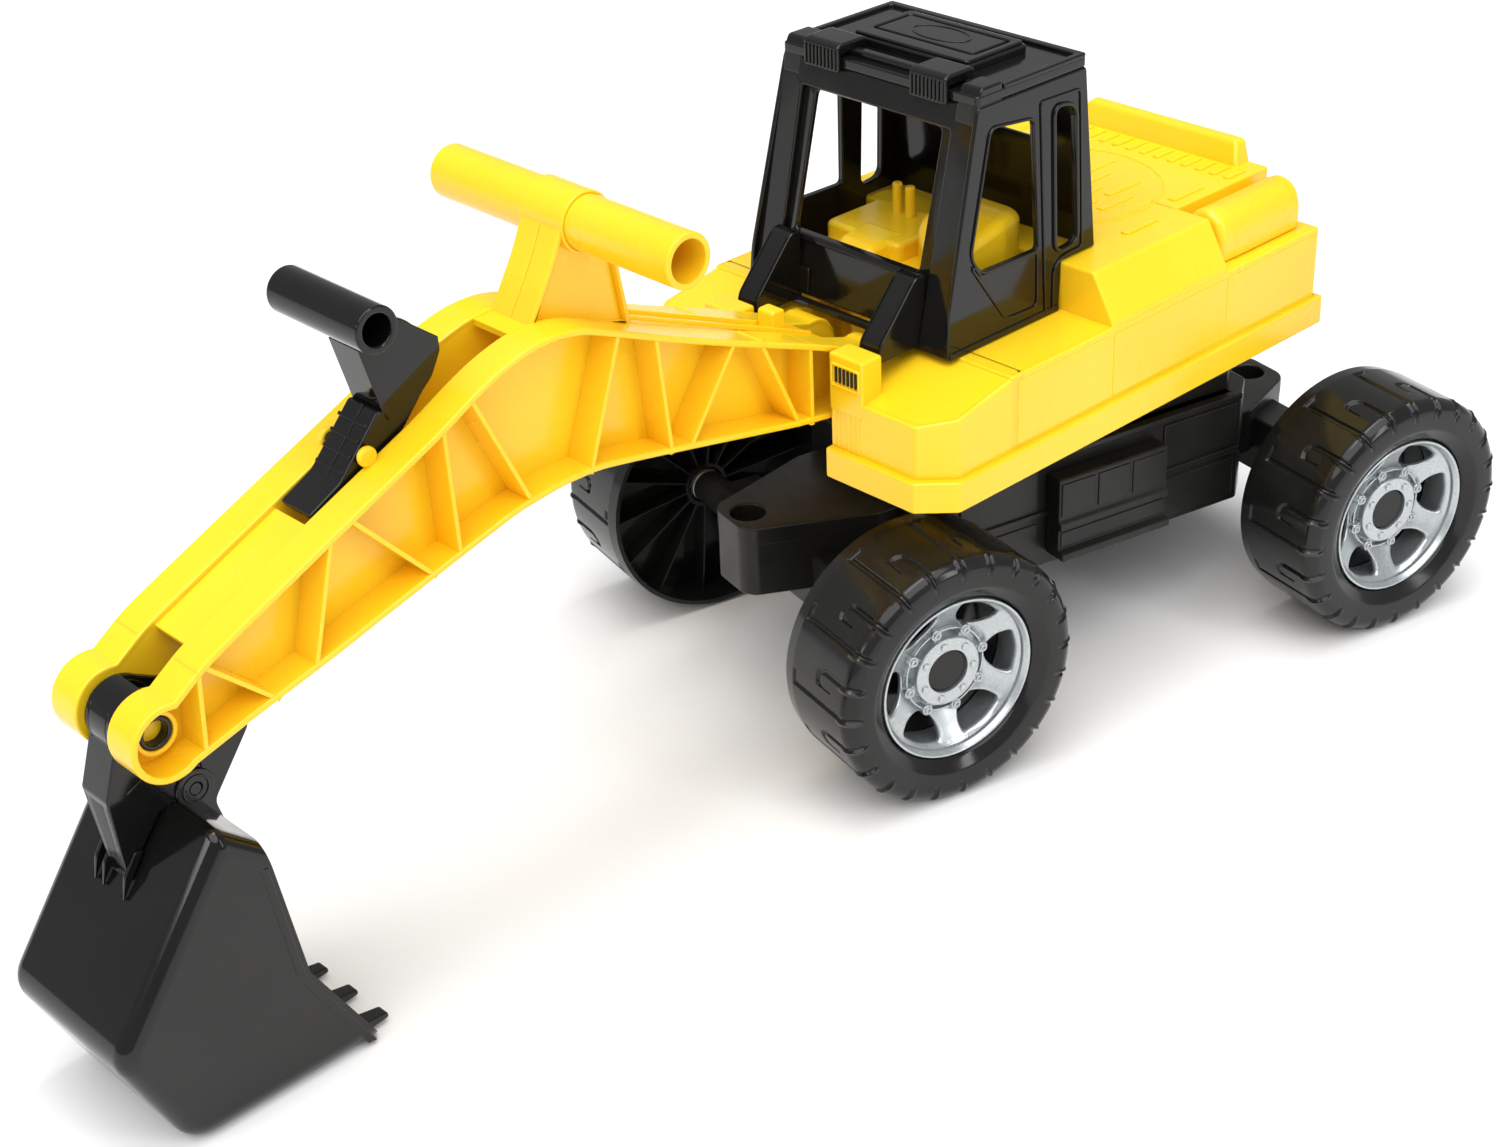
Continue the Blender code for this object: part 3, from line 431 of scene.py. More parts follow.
def rimSector(v):
    # rings run from the window's edge to the sector's border, and round the edge to the back
    outline = [(37.2, -19.5), (37.9, 0), (37.2, 19.5), (30, 19), (24.4, 9), (24.4, -9), (30, -19)]
    window = rounded([(r * math.cos(math.radians(a)), r * math.sin(math.radians(a))) for r, a in outline],
                     [3.4, 5, 3.4, 8, 8, 8, 8], 14)
    middle = np.array([31.0, 0])
    direction = np.arctan2(window[:, 1], window[:, 0] - middle[0])
    window = window[np.argsort(direction)]
    direction = np.sort(direction)
    reach = np.stack([np.cos(direction), np.sin(direction)], 1)
    step = np.linspace(0, 40, 401)[:, None]
    ray = middle + step[..., None] * reach[None, :, :]
    radius, turn = np.hypot(ray[..., 0], ray[..., 1]), np.degrees(np.arctan2(ray[..., 1], ray[..., 0]))
    inside = (radius < 40) & (radius > 17.5) & (np.abs(turn) <= 30.3)
    border = middle + reach * step[np.maximum(inside.cumprod(0).sum(0) - 1, 0)]
    out = unit(border - window)
    rows, heights = [], []
    bend = np.linspace(0, np.pi / 2, 5)
    for a in bend[::-1]:                                         # round lip of the window
        edgeLine = window + out * (1.3 * (1 - math.sin(a)))
        rows.append(edgeLine)
        heights.append(dishHeight(np.hypot(*edgeLine.T)) - 1.3 * (1 - math.cos(a)) * 1.2)
    start = window + out * 1.3
    for s in (0.25, 0.5, 0.75, 1.0):
        line = start + (border - start) * s
        rows.append(line)
        heights.append(dishHeight(np.hypot(*line.T)))
    for line in (rows[-1], rows[0]):
        rows.append(line)
        heights.append(dishHeight(np.hypot(*line.T)) - v["thickness"])
    flat = np.stack(rows)
    points = np.stack([np.stack(heights), flat[..., 0], flat[..., 1]], -1)
    return points.reshape(-1, 3), gridFaces(len(rows), len(window), True, True).tolist()


def turnedRound(shell, degrees):
    # about the side axis: (x, y cos a - z sin a, y sin a + z cos a)
    c, s = math.cos(math.radians(degrees)), math.sin(math.radians(degrees))
    return shell[0] @ np.array([[1, 0, 0], [0, c, s], [0, -s, c]]), shell[1]


def rimShells(v):
    flange = rounded([(39.4, 113), (v["radius"], 113), (v["radius"], v["face"]), (40.9, v["face"] + 0.1),
                      (39.9, 134.6), (39.2, 133.6), (39.2, 131), (38.2, 130.2)],
                     [0.3, 0.3, 0.6, 0.5, 0.6, 0.5, 0.8, 0.3])
    shells = [lathe(flange, 144, "side")]
    sector = rimSector(v)
    shells += [turnedRound(sector, 360 / v["windows"] * k + v["turn"]) for k in range(v["windows"])]
    hub, top = v["hubRadius"], v["hubFace"]
    drum = rounded([(11.2, 118.9), (hub + 0.5, 118.9), (hub + 0.3, 122), (hub, top), (11.2, top)],
                   [0.3, 0.3, 0.3, 0.9, 0.5])
    shells.append(lathe(drum, 96, "side"))
    boss = rounded([(3.4, 99.8), (9, 99.8), (9.6, 121), (3.4, 121)], 0.5)
    shells.append(lathe(boss, 48, "side"))
    ring = rounded([(21.1, 119.6), (22.5, 119.6), (22.3, 125.0), (21.3, 125.0)], 0.4)
    shells.append(lathe(ring, 120, "side"))
    lug = [knob((0, v["lugRadius"], 0), 2.9, 119.6, 126.3, "side", 0.7, 20),
           lathe(oblong((1.0, 125.6), (1.9, 127.2), 0.3), 16, "side",
                 (0, v["lugRadius"], 0)),
           slab(rounded([(17, -1.9), (21.8, -2.4), (21.8, 2.4), (17, 1.9)], 0.6), 119.6, 125.4, "side",
                0.5)]
    for k in range(v["lugs"]):
        shells += [turnedRound(part, 15 + 360 / v["lugs"] * k) for part in lug]
    rivet = knob((0, 14.4, 0), 1.9, top - 0.5, top + 0.9, "side", 0.5, 20)
    shells += [turnedRound(rivet, 100 + 360 / v["rivets"] * k) for k in range(v["rivets"])]
    return shells


def wheelAxes(sign):
    return np.array([[sign, 0, 0], [0, 1, 0], [0, 0, 1]], float)


def makeWheels():
    tyre, rim = tyreShell(tyreValues), rimShells(rimValues)
    cap = [knob((0, 0, 0), 10.9, 123.4, 126.15, "side", 0.7, 64)]
    web = [lathe(oblong((10.2, 110.8), (62.5, 112.6), 0.4), 96, "side"),
           lathe(oblong((10.2, 101), (12.6, 112), 0.4), 48, "side")]
    rib = slab([(11, -0.6), (62.4, -0.6), (62.4, 0.6), (11, 0.6)], 98, 111.5, "side", 0.4)
    rib[0][:, 0] += np.interp(rib[0][:, 1], [11, 30, 62], [3, 7, 1]) * (rib[0][:, 0] < 104)
    stiffeners = web + [turnedRound(rib, 360 / 14 * k + 7) for k in range(14)]
    for end in ("front", "rear"):
        for hand, sign in hands:
            wheel = f"{end}_{hand}"
            hinge = (np.array(jointNamed[f"wheel_{wheel}_spin"]["pos_m"]) - slewCentre) * (0, 1000, 1000)
            body, axes = "wheel_" + wheel, wheelAxes(sign)
            makePiece("tyre_skin_" + wheel, [tyre] + stiffeners, axes, tyrePlastic, body, ["tyre_" + wheel],
                      hinge)
            makePiece("rim_dish_" + wheel, rim, axes, silverPlastic, body, ["rim_" + wheel],
                      hinge)
            makePiece("cap_disc_" + wheel, cap, axes, blackSatin, body, ["hub_cap_" + wheel],
                      hinge)
    print("wheels made")


makeWheels()


# Undercarriage

frameValues = {"low": 58, "high": 121, "side": 62, "front": 104, "top": 131, "nosePin": 172.5,
               "tailPin": -151.0,
               "axle": 139.8, "axleUp": 65, "wall": 3}


def wallRing(outline, low, high, thick, edge=0.8):
    # an upright wall that follows an outline
    return slab([outline, inset(oriented(outline), thick)], low, high, "up", edge)


def plate(corners, depth, low, high):
    # a flat cover that lies just inside a wall's outline
    return slab(rounded(inset(oriented(corners), depth), 0.4, 2), low, high, "up", 0.1)


def thickWall(corners, thick, low, high):
    # an upright wall whose two outlines are rounded after the inset, so that the inner one can't fold
    inner = rounded(inset(oriented(corners), thick), 1.5, 3)
    return slab([rounded(corners, 1.5, 3), inner], low, high, "up", 1.2)


def makeChassis(v):
    plan = rounded(symmetric([(50, -v["front"]), (v["side"], -92), (v["side"], 92), (50, v["front"])]), 1.5)
    topPlan = rounded(symmetric([(44, -98), (55, -88), (55, 88), (44, 98)]), 2)
    shells = [wallRing(plan, v["low"], v["high"], v["wall"], 1.2),
              slab(inset(oriented(plan), 1.4), 117, v["high"] - 0.02, "up", 0.1),
              slab(topPlan, 119, v["top"], "up", 1.5)]
    for out, up, thick in ((64, 117.8, 3.4), (63.4, 87, 3.2)):
        ledge = rounded(symmetric([(out, -91), (out, 91)]), 1)
        shells.append(slab([ledge, inset(oriented(ledge), 5)], up, up + thick, "up", 0.7))
    for pin, toe, wide, high, end in ((v["nosePin"], 184, 17, 104, 121),
                                      (v["tailPin"], -165, 17, 92, -121)):
        sign = 1 if pin > 0 else -1
        nose = rounded(symmetric([(38, sign * 98), (37.5, end), (wide, toe - sign * 4), (11, toe)]),
                       [2, 2, 4, 6] * 2)
        hole = arc((0, pin), 8.8, 0, 360, 41)[:-1]
        shells.append(slab([nose, hole], high - 10, high, "up", 1.2))
        shells.append(wallRing(inset(oriented(nose), 0.15), 66, high - 3, 3, 0.8))
        shells.append(lathe(oblong((8.9, 66), (11, high - 2), 0.4), 40, "up", (0, pin, 0)))
    # a block round each axle, with the tube that the axle runs in
    axles = (v["axle"], -v["axle"])
    shells += [box((-66, at - 12, 52), (66, at + 12, 84), 1.5) for at in axles]
    axleTube = rounded([(3.3, -99.4), (9, -99.4), (9, 99.4), (3.3, 99.4)], 0.6)
    shells += [lathe(axleTube, 48, "side", (0, at, v["axleUp"])) for at in axles]
    for at in (-60, 0, 60):                                     # ribs below
        shells.append(box((-58, at - 1.2, 60), (58, at + 1.2, 118), 0.5))
    shells.append(box((-1.3, -100, 60), (1.3, 100, 118), 0.5))
    shells += pair(box((61, 40, 92), (63.2, 88, 116), 0.7)) + pair(box((61, -88, 92), (63.2, -40, 116),
                                                                       0.7))
    shells += pair(box((61, 40, 62), (62.9, 88, 84), 0.7)) + pair(box((61, -88, 62), (62.9, -40, 84), 0.7))
    makePiece("undercarriage_moulding", shells, chassisAxes, blackSatin, "chassis", ["chassis_frame"])
    for hand, sign in hands:
        outline = rounded([(62.6, 66), (77, 66), (77, 70), (73, 71.5), (73, 82), (75, 83), (75, 86.5),
                           (73, 88),
                           (73, 110), (72, 111), (62.6, 111)], 0.6, 3)
        parts = [slab(outline, -34.5, 34.5, "forward", 0.8)]
        for low, high in ((-33, -12), (-10, 10), (12, 33)):
            parts.append(box((72.4, low, 90), (73.7, high, 108.4), 0.5))
        parts.append(box((72.4, -33, 72.6), (73.6, 33, 81), 0.4))
        makePiece("side_locker_" + hand, handed(parts, sign), chassisAxes, blackSatin, "chassis",
                  ["side_box_" + hand])
    ring = rounded([(36, 131.3), (50, 131.3), (48, 134), (48, 153.4), (36, 153.4)], 0.8)
    makePiece("slew_collar", [lathe(ring, 96, "up")], chassisAxes, blackSatin, "chassis", ["slew_ring"])
    for end, at in zip(("front", "rear"), axles):
        centre = (0, at, v["axleUp"])
        rod = [knob(centre, 3, -123, 123, "side", 0.5), *pair(knob(centre, 6.3, 120.2, 121.6, "side", 0.3))]
        makePiece(f"axle_rod_{end}", rod, chassisAxes, drawnSteel, "chassis", [f"{end}_axle"])
    print("undercarriage made")


makeChassis(frameValues)
# hidden pins keep the frame's own meshes and take this file's materials
for name, material in (("kingpin", blackSatin), ("kingpin_washer", drawnSteel), ("boom_pin", drawnSteel),
                       ("rod_pin_front", blackGloss), ("rod_pin_rear", blackGloss)):
    frame["nodes"][name].data.materials.clear()
    frame["nodes"][name].data.materials.append(material)


# House

houseValues = {"skirt": 101.4, "front": 181.9, "rear": -111.7, "side": 98, "slot": 31, "slotEnd": 99,
               "deck": 207,
               "engine": 231, "deckFront": 54.6, "fold": 128, "fall": 0.23, "wall": 3, "disc": 54,
               "discAt": -18}


def forkPlan(side, front, rear, chamfer, v):
    # the plan of the house, open at the front for the boom
    half = [(side, rear), (side, front - chamfer), (side - chamfer, front), (v["slot"], front),
            (v["slot"], v["slotEnd"])]
    return rounded(symmetric(half), 1.2, 3)


def deckOblongs(v):
    # long pads fore and aft on a grid, left out where the disc's border and the deck's edges are
    pads = []
    for column in range(-8, 9):
        for row in range(-3, 3):
            at = (column * 9.4, v["discAt"] + row * 33 + (16 if column % 2 else 0))
            ends = [math.hypot(at[0], at[1] + step - v["discAt"]) for step in (-14, 0, 14)]
            within = max(ends) < v["disc"] - 5
            outside = min(ends) > v["disc"] + 5 and -77 < at[1] - 14 and at[1] + 14 < 27
            if abs(at[0]) > 58 and at[1] - 14 < -30 or abs(at[0]) > 78:
                outside = False
            if within or outside:
                length = 12.5
                outline = rounded([(at[0] - 2.4, at[1] - length), (at[0] + 2.4, at[1] - length),
                                   (at[0] + 2.4, at[1] + length), (at[0] - 2.4, at[1] + length)], 2.2, 4)
                pads.append(slab(outline, v["engine"] - 1, v["engine"] + 1.1, "up", 0.6, 2))
    for at in np.arange(-58.5, 60, 9.0):                        # the row in front of the bar
        outline = oblong((at - 2.2, -95), (at + 2.2, -80), 2, 4)
        pads.append(slab(outline, v["engine"] - 1, v["engine"] + 1.1, "up", 0.6, 2))
    return pads


def makeHouse(v):
    skirt = forkPlan(v["skirt"], v["front"], v["rear"], 15.2, v)
    shells = [wallRing(skirt, 154, 169.5, 4, 1.2),
              slab(inset(oriented(skirt), 0.8), 166.5, 169.35, "up", 0.5)]
    rearCorners = symmetric([(v["side"], -108.6), (v["side"], v["fold"] + 0.4),
                             (v["slot"], v["fold"] + 0.4),
                             (v["slot"], v["slotEnd"])])
    coverLow, coverHigh = v["deck"] - 4, v["deck"] - 0.02
    shells += [thickWall(rearCorners, v["wall"], 168, v["deck"]),
               plate(rearCorners, 1.6, coverLow, coverHigh)]
    side = v["side"] - 0.03
    fenderCorners = [(v["slot"] + 0.03, v["fold"] - 9), (side, v["fold"] - 9), (side, 164), (84, 178),
                     (v["slot"] + 0.03, 178)]
    # the fenders fall away towards the front
    for points, faces in (thickWall(fenderCorners, v["wall"], 168, v["deck"]),
                          plate(fenderCorners, 1.6, coverLow, coverHigh)):
        lift = np.clip((points[:, 2] - 180) / (v["deck"] - 180), 0, 1)
        points[:, 2] -= 0.02 + np.maximum(points[:, 1] - v["fold"], 0) * v["fall"] * lift
        shells += pair((points, faces))
    ends = [(97.5, v["deck"] - 3), (97.5, v["deck"] + 1.5), (84.5, v["engine"])]
    shells.append(slab(rounded(symmetric(ends), [0.5, 2, 1.6, 1.6, 2, 0.5]), -33, v["deckFront"] + 1.4,
                       "forward", 1.3))
    narrow = [(64.5, v["deck"] - 3), (64.5, v["engine"])]
    shells.append(slab(rounded(symmetric(narrow), 1.4), -108.6, -30, "forward", 1.4))
    rearBar = rounded([(-110, v["engine"] - 4), (-110, 241), (-108, 242.6), (-101.5, 242.6),
                       (-97, v["engine"] + 1),
                       (-96, v["engine"] - 4)], [0.5, 2, 2, 2.5, 2, 0.5])
    points, faces = slab(rearBar, -53, 53, "side", 2.2)
    points[:, 0] *= 1 - np.clip(points[:, 2] - v["engine"], 0, 12) / 12 * 0.09
    shells.append((points, faces))
    border = [(v["disc"] - 1.1, v["engine"] - 1), (v["disc"] + 0.2, v["engine"] - 1),
              (v["disc"], v["engine"] + 0.5),
              (v["disc"] - 0.9, v["engine"] + 0.5)]
    shells.append(lathe(rounded(border, 0.3), 144, "up", (0, v["discAt"], 0)))
    disc = [(0, v["engine"] - 1), (v["disc"] - 2.4, v["engine"] - 1), (v["disc"] - 2.4, v["engine"] + 0.15),
             (v["disc"] - 2.8, v["engine"] + 0.3), (0, v["engine"] + 0.3)]
    shells.append(lathe(disc, 144, "up", (0, v["discAt"], 0), closed=False))
    shells += deckOblongs(v)
    # pillars at the slot, with a fluted column below the grille
    shells += pair(box((v["slot"], 165, 188), (52, 178.6, 217), 1.4))
    shells += pair(slab([oblong((33, 201.4), (51.2, 212.9), 1.2),
                         oblong((34.2, 202.6), (50.2, 211.8), 1.0)],
                        177.5, 179.9, "forward", 0.4))
    for number in range(6):
        flute = 33.2 + number * 3.1
        shells += pair(knob((flute, 177.2, 0), 1.4, 170, 190, "up", 0.7, 16))
    # side panels stand a little proud between the seams
    for low, high in ((-106, -32.5), (-29.5, 55.5), (58.5, 124)):
        shells += pair(box((96.5, low, 171.5), (98.45, high, v["deck"] - 3.2), 0.5))
    # below: slot walls, cross ribs and the slew plate
    shells += pair(box((v["slot"], -105, 156), (v["slot"] + v["wall"], 177, 205), 0.5))
    for at in (-55, 0, 96):
        shells.append(box((-96, at, 156), (96, at + 2.6, 205), 0.5))
    shells.append(lathe(oblong((16, 154), (54, 158.8), 0.5), 96, "up"))
    makePiece("house_moulding", shells, houseAxes, yellowPlastic, "house", ["house_shell"])
    for hand, sign in hands:
        dome = [(65.1, v["deck"] + 0.3), (90.6, v["deck"] + 0.3), (90.6, 220), (87, 229), (78, 233),
                (69, 229),
                (65.1, 220)]
        tank = [cushioned(dome, [1, 1.5, 4, 4.5, 4.5, 4.5, 4], -103, -37, "forward", 4.5, 7),
                cushioned(np.array(dome) + (0.35, 0), [1, 1.5, 4, 4.5, 4.5, 4.5, 4], -98, -46.5, "forward",
                          0.8, 3)]
        grille = [slab(oblong((34.4, 202.8), (50, 211.6), 0.8), 176.6, 178.3, "forward", 0.3)]
        grille += [slab(oblong((x, 203.4), (x + 1.3, 211), 0.4), 177.5, 179.5, "forward", 0.4)
                 for x in np.linspace(35.4, 47.7, 6)]
        makePiece("tank_moulding_" + hand, handed(tank, sign), houseAxes, yellowPlastic, "house",
                  ["tank_" + hand])
        makePiece("grille_insert_" + hand, handed(grille, sign), houseAxes, blackSatin, "house",
                  ["grille_" + hand])
    print("house made")


makeHouse(houseValues)


# Cab

cabValues = {"low": 207.3, "roof": 320.2, "wall": 2.6, "halfBelow": 65.7, "halfAbove": 61.2}


def cabHalf(z):
    # the cab's half width falls evenly with height
    return np.interp(z, [207, 326.4], [cabValues["halfBelow"], cabValues["halfAbove"]])


def frontLine(z):
    return np.interp(z, [207.3, 228.4, 326.4], [136, 134.4, 109.9])


def rearLine(z):
    return np.interp(z, [231.3, 320.2], [31, 37])


def cabSide(outlines, low, high, edge=0.6):
    # plates drawn on the cab's side, leaning in with it; low and high are depths from the cab's outer face
    points, faces = slab(outlines, -high, -low, "side", edge)
    points[:, 0] += cabHalf(points[:, 2])
    return points, faces


def cabEnd(outlines, low, high, line, edge=0.6):
    # plates drawn on the cab's front or rear (side, up), leaning with it
    points, faces = slab(outlines, low, high, "forward", edge)
    points[:, 1] += line(points[:, 2])
    return points, faces


def makeCab(v):
    low, roof = v["low"], v["roof"]
    wallOutline = rounded([(136, low), (134.4, 228.4), (111.6, roof + 0.2), (37, roof + 0.2), (31, 231.4),
                           (55.2, 231.4),
                           (57.6, low)], [1.5, 3, 2, 2, 1, 1, 0.5])
    door = rounded([(103.8, 308.9), (75, 305.6), (73, 242.8), (112, 243.6), (118.7, 252.3)],
                   [4, 3, 2.5, 4, 5])
    quarter = rounded([(59.8, 307.5), (46, 304.6), (45, 238.8), (59.6, 237.4)], 5.5, 6)
    doorRim = inset(oriented(door), -1.4)
    panelRim = inset(oriented(rounded([(118.4, 248.4), (95.6, 216.2), (74.6, 215.4), (73.9, 240.6),
                                       (113.4, 241.2)],
                                      [4, 4, 3, 1.5, 2])), -0.2)
    quarterRim = inset(oriented(quarter), -2.0)
    shells = pair(cabSide([wallOutline, door, quarter], 0, v["wall"], 0.8))
    shells += pair(cabSide([doorRim, door], -0.9, 0.6, 0.5))
    shells += pair(cabSide([quarterRim, quarter], -1.3, 0.6, 0.6))
    shells += pair(cabSide([inset(panelRim, -1.3), panelRim], -0.9, 0.6, 0.45))
    frameLine = rounded([(70.4, 313), (41.2, 312), (40.4, 234), (55, 233.4), (61, 229), (62, 208.6),
                         (68.4, 208.6)],
                        [3, 3, 3, 3, 3, 1, 1])
    shells += pair(cabSide([frameLine, inset(oriented(frameLine), 1.2)], -0.9, 0.6, 0.45))
    shells += pair(cabSide([rounded([(134.8, low), (58, low), (58.2, low + 3.4), (134.6, low + 3.4)], 0.8)],
                           -0.7, 0.6, 0.5))
    # front: broad posts outside, a frame set back inside them, and a panel below
    frontOuter = [(65.5, low), (61.4, roof + 0.2), (-61.4, roof + 0.2), (-65.5, low)]
    frontOpening = rounded([(47, 211), (47, 308), (-47, 308), (-47, 211)], 2)
    shells.append(cabEnd([rounded(frontOuter, 1.2), frontOpening], -3.4, 0, frontLine, 1.0))
    innerOuter = [(49, low + 4.5), (49, 311), (-49, 311), (-49, low + 4.5)]
    windscreen = rounded([(40, 241.5), (40, 306.5), (-40, 306.5), (-40, 241.5)], 3.5, 5)
    shells.append(cabEnd([rounded(innerOuter, 1), windscreen], -6.2, -3.0, frontLine, 0.9))
    shells.append(cabEnd([rounded([(42, 238.4), (42, 241.8), (-42, 241.8), (-42, 238.4)], 0.6)], -6.5, -1.6,
                         frontLine, 0.8))
    shells.append(cabEnd([oblong((-38, 214), (-27, 226), 1)], -3.6, -1.9, frontLine, 0.5))
    # rear wall with its window, and the short wall behind the seat
    rearOuter = [(62.5, 231.4), (60.9, roof + 0.2), (-60.9, roof + 0.2), (-62.5, 231.4)]
    rearWindow = rounded([(44, 279), (44, 307.5), (-44, 307.5), (-44, 279)], 3)
    shells.append(cabEnd([rounded(rearOuter, 1.2), rearWindow], 0.1, 2.9, rearLine, 0.8))
    for at in (-30, -10, 10, 30):
        shells.append(cabEnd([oblong((at - 8, 236), (at + 8, 273), 2)], -0.5, 0.6,
                             rearLine, 0.5))
    strut = rounded([(131, 243.5), (137, 243.5), (161, 217), (162, 209), (131, 209)], [1, 2.5, 3, 1, 1])
    for inner, outer in ((33.5, 36), (44.5, 47)):
        shells += pair(slab(strut, inner, outer, "side", 0.6))
    ramp = rounded([(132, 243.5), (137, 243.5), (161, 217), (162, 209), (159, 209), (158.4, 215.4),
                    (135.6, 240.8),
                    (132, 240.8)], [1, 2, 3, 0.6, 0.6, 1, 1, 0.6])
    shells += pair(slab(ramp, 33.6, 46.9, "side", 0.7))
    # pillar bosses that carry on over the roof's front corners
    cornerBoss = rounded([(113.6, 312), (111.2, 324), (109, 328.6), (95, 328.6), (95, 318), (108, 312)],
                         [1, 1, 2, 1.5, 0.5, 1])
    shells += pair(slab(cornerBoss, 48.6, 60.9, "side", 1.0))
    makePiece("cab_moulding", shells, houseAxes, blackGloss, "house", ["cab"])

    base = rounded(symmetric([(61.2, 37), (61.2, 112)]), 2.2)
    roofShells = [slab(base, roof + 0.3, 325.4, "up", 0.9)]
    rim = rounded([(61.2, 37), (61.2, 94), (57.6, 94), (57.6, 41.5), (-57.6, 41.5), (-57.6, 94),
                   (-61.2, 94), (-61.2, 37)],
                  [2, 1, 0.8, 2, 2, 0.8, 1, 2])
    roofShells.append(slab(rim, 324.5, 327, "up", 0.8))
    raised = rounded(symmetric([(37, 50), (37, 92)]), 3)
    roofShells.append(slab(raised, 324.5, 329.2, "up", 1.2, 4))
    groove = rounded(symmetric([(31.6, 55.5), (31.6, 82)]), 2)
    field = rounded(symmetric([(35.6, 51.4), (35.6, 90.6)]), 2.4)
    roofShells.append(slab([field, groove], 328.6, 330.8, "up", 0.8))
    roofShells.append(slab(inset(oriented(groove), 1.5), 328.6, 330.8, "up", 0.7))
    emblem = arc((0, 68.5), 9, 0, 360, 65)[:-1] * (1.9, 1)
    roofShells.append(slab([emblem, inset(oriented(emblem), 0.9)], 330.4, 331.2, "up", 0.3))
    roofShells.append(slab(rounded(symmetric([(22.6, 100), (22.6, 106)]), 0.5), 324.5, 328.4, "up", 1.6, 4))
    makePiece("roof_moulding", roofShells, houseAxes, blackGloss, "house", ["cab_roof"])
    for hand, sign in hands:
        side = rounded([(95, 326.6), (95, 331), (97, 332), (112, 332), (115, 330.6), (115, 318.8),
                        (112.3, 318.8),
                        (112, 326.6)], [0.8, 1, 1, 2, 1.2, 0.8, 0.5, 0.5])
        lamp = [slab(side, 22.3, 44.5, "side", 1.2)]
        lamp += [slab(oblong((x, 319.8), (x + 1.25, 329.4), 0.5), 114.4, 115.9,
                      "forward", 0.5) for x in np.linspace(23.4, 42.2, 9)]
        makePiece("lamp_block_" + hand, handed(lamp, sign), houseAxes, blackGloss, "house",
                  ["roof_lamp_" + hand])
    print("cab made")


makeCab(cabValues)

seatValues = {"half": 48, "rear": 60, "front": 117, "low": 207.4, "top": 236}


def makeSeat(v):
    # a flat block with a hump and two pegs on one hand, and a round-backed seat on the other
    block = [(-v["half"], v["rear"]), (v["half"], v["rear"]), (v["half"], v["front"]),
             (-v["half"], v["front"])]
    shells = [cushioned(block, 5, v["low"], v["top"] - 9, "up", 1.5)]
    shelf = [(-v["half"] + 0.3, v["rear"] + 0.3), (2, v["rear"] + 0.3), (2, 101), (-v["half"] + 0.3, 101)]
    shells.append(cushioned(shelf, 5, v["low"] + 6, v["top"], "up", 2.6, 7))
    hump = [(-32, 88), (-4, 88), (-6, 115), (-30, 115)]
    points, faces = cushioned(hump, [1, 1, 7, 7], v["low"] + 6, v["top"] + 0.6, "up", 3.0, 7)
    points[:, 0] = -18 + (points[:, 0] + 18) * np.interp(points[:, 2], [226, v["top"]], [1.2, 0.9])
    points[:, 2] -= np.clip((points[:, 1] - 104) / 11, 0, 1) * np.clip((points[:, 2] - 226) / 9, 0, 1) * 4
    shells.append((points, faces))
    back = [(9, 61), (v["half"] - 0.3, 61), (v["half"] - 0.3, 113), (30, 113), (9, 96)]
    points, faces = cushioned(back, [8, 10, 14, 8, 8], v["low"] + 6, 255, "up", 5.5, 9)
    fall = np.clip((points[:, 1] - 76) / 38, 0, 1) ** 1.6
    points[:, 2] -= np.clip((points[:, 2] - 228) / 27, 0, 1) * 14 * fall
    shells.append((points, faces))
    for at in (-27.5, -19):
        shells.append(knob((at, 70, 0), 2.5, 230, 251.5, "up", 2.3, 24))
    for at in (70, 84, 98):                                     # fine upright ribs on the outer side
        shells.append(box((v["half"] - 1.4, at, v["low"] + 10), (v["half"] + 0.1, at + 1.2, 232), 0.5))
    makePiece("seat_moulding", shells, houseAxes, yellowPlastic, "house", ["driver_seat"])
    print("seat made")


makeSeat(seatValues)


# Boom

boomValues = {"half": 29.2, "cheek": 11.3, "web": 13.6, "flange": 3.0, "tipRadius": 17.1,
              "footRadius": 13.4,
              "grip": (299.3, 311.8), "gripRadius": 12, "gripHalf": 75.8, "tube": 7.3}
boomTop = [(513, 203.6), (475.5, 220.5), (442, 235.4), (394, 256.5), (375, 266.4), (362, 272), (346, 276.6),
           (330, 277.4),
           (316, 274.8), (298, 267.3), (265.7, 253.4), (231, 239.6), (188, 223.2), (160, 211.6)]
boomLow = [(170, 180.4), (197, 184.6), (258, 197.3), (292.5, 204.3), (315, 208.5), (336, 208.6),
           (359, 205.8),
           (391, 197.5), (423, 189), (454, 180.4), (498, 169.5)]
trussRibs = [((516, 201), (518.5, 164)), ((513, 201), (483, 172.5)), ((450, 231), (465, 178)),
             ((440, 235), (403, 194)),
             ((392, 257), (390, 198)), ((377, 264), (351, 207)), ((298.5, 267), (319, 208)),
             ((278.5, 258), (273, 200)),
             ((233, 240), (262, 199)), ((218, 234.6), (195, 184.6)), ((187, 222.5), (187, 182))]


def boomOutline(v):
    tip = arc(bucketPivot, v["tipRadius"], 105, -125, 28)
    foot = arc(boomPivot, v["footRadius"], 235, 75, 16)
    top = rounded([foot[-1], *boomTop[::-1], tip[0]], 7, 3)[4:-4]
    low = rounded([tip[-1], *boomLow[::-1], foot[0]], 7, 3)[4:-4]
    return oriented(np.concatenate([foot, top, tip, low]))


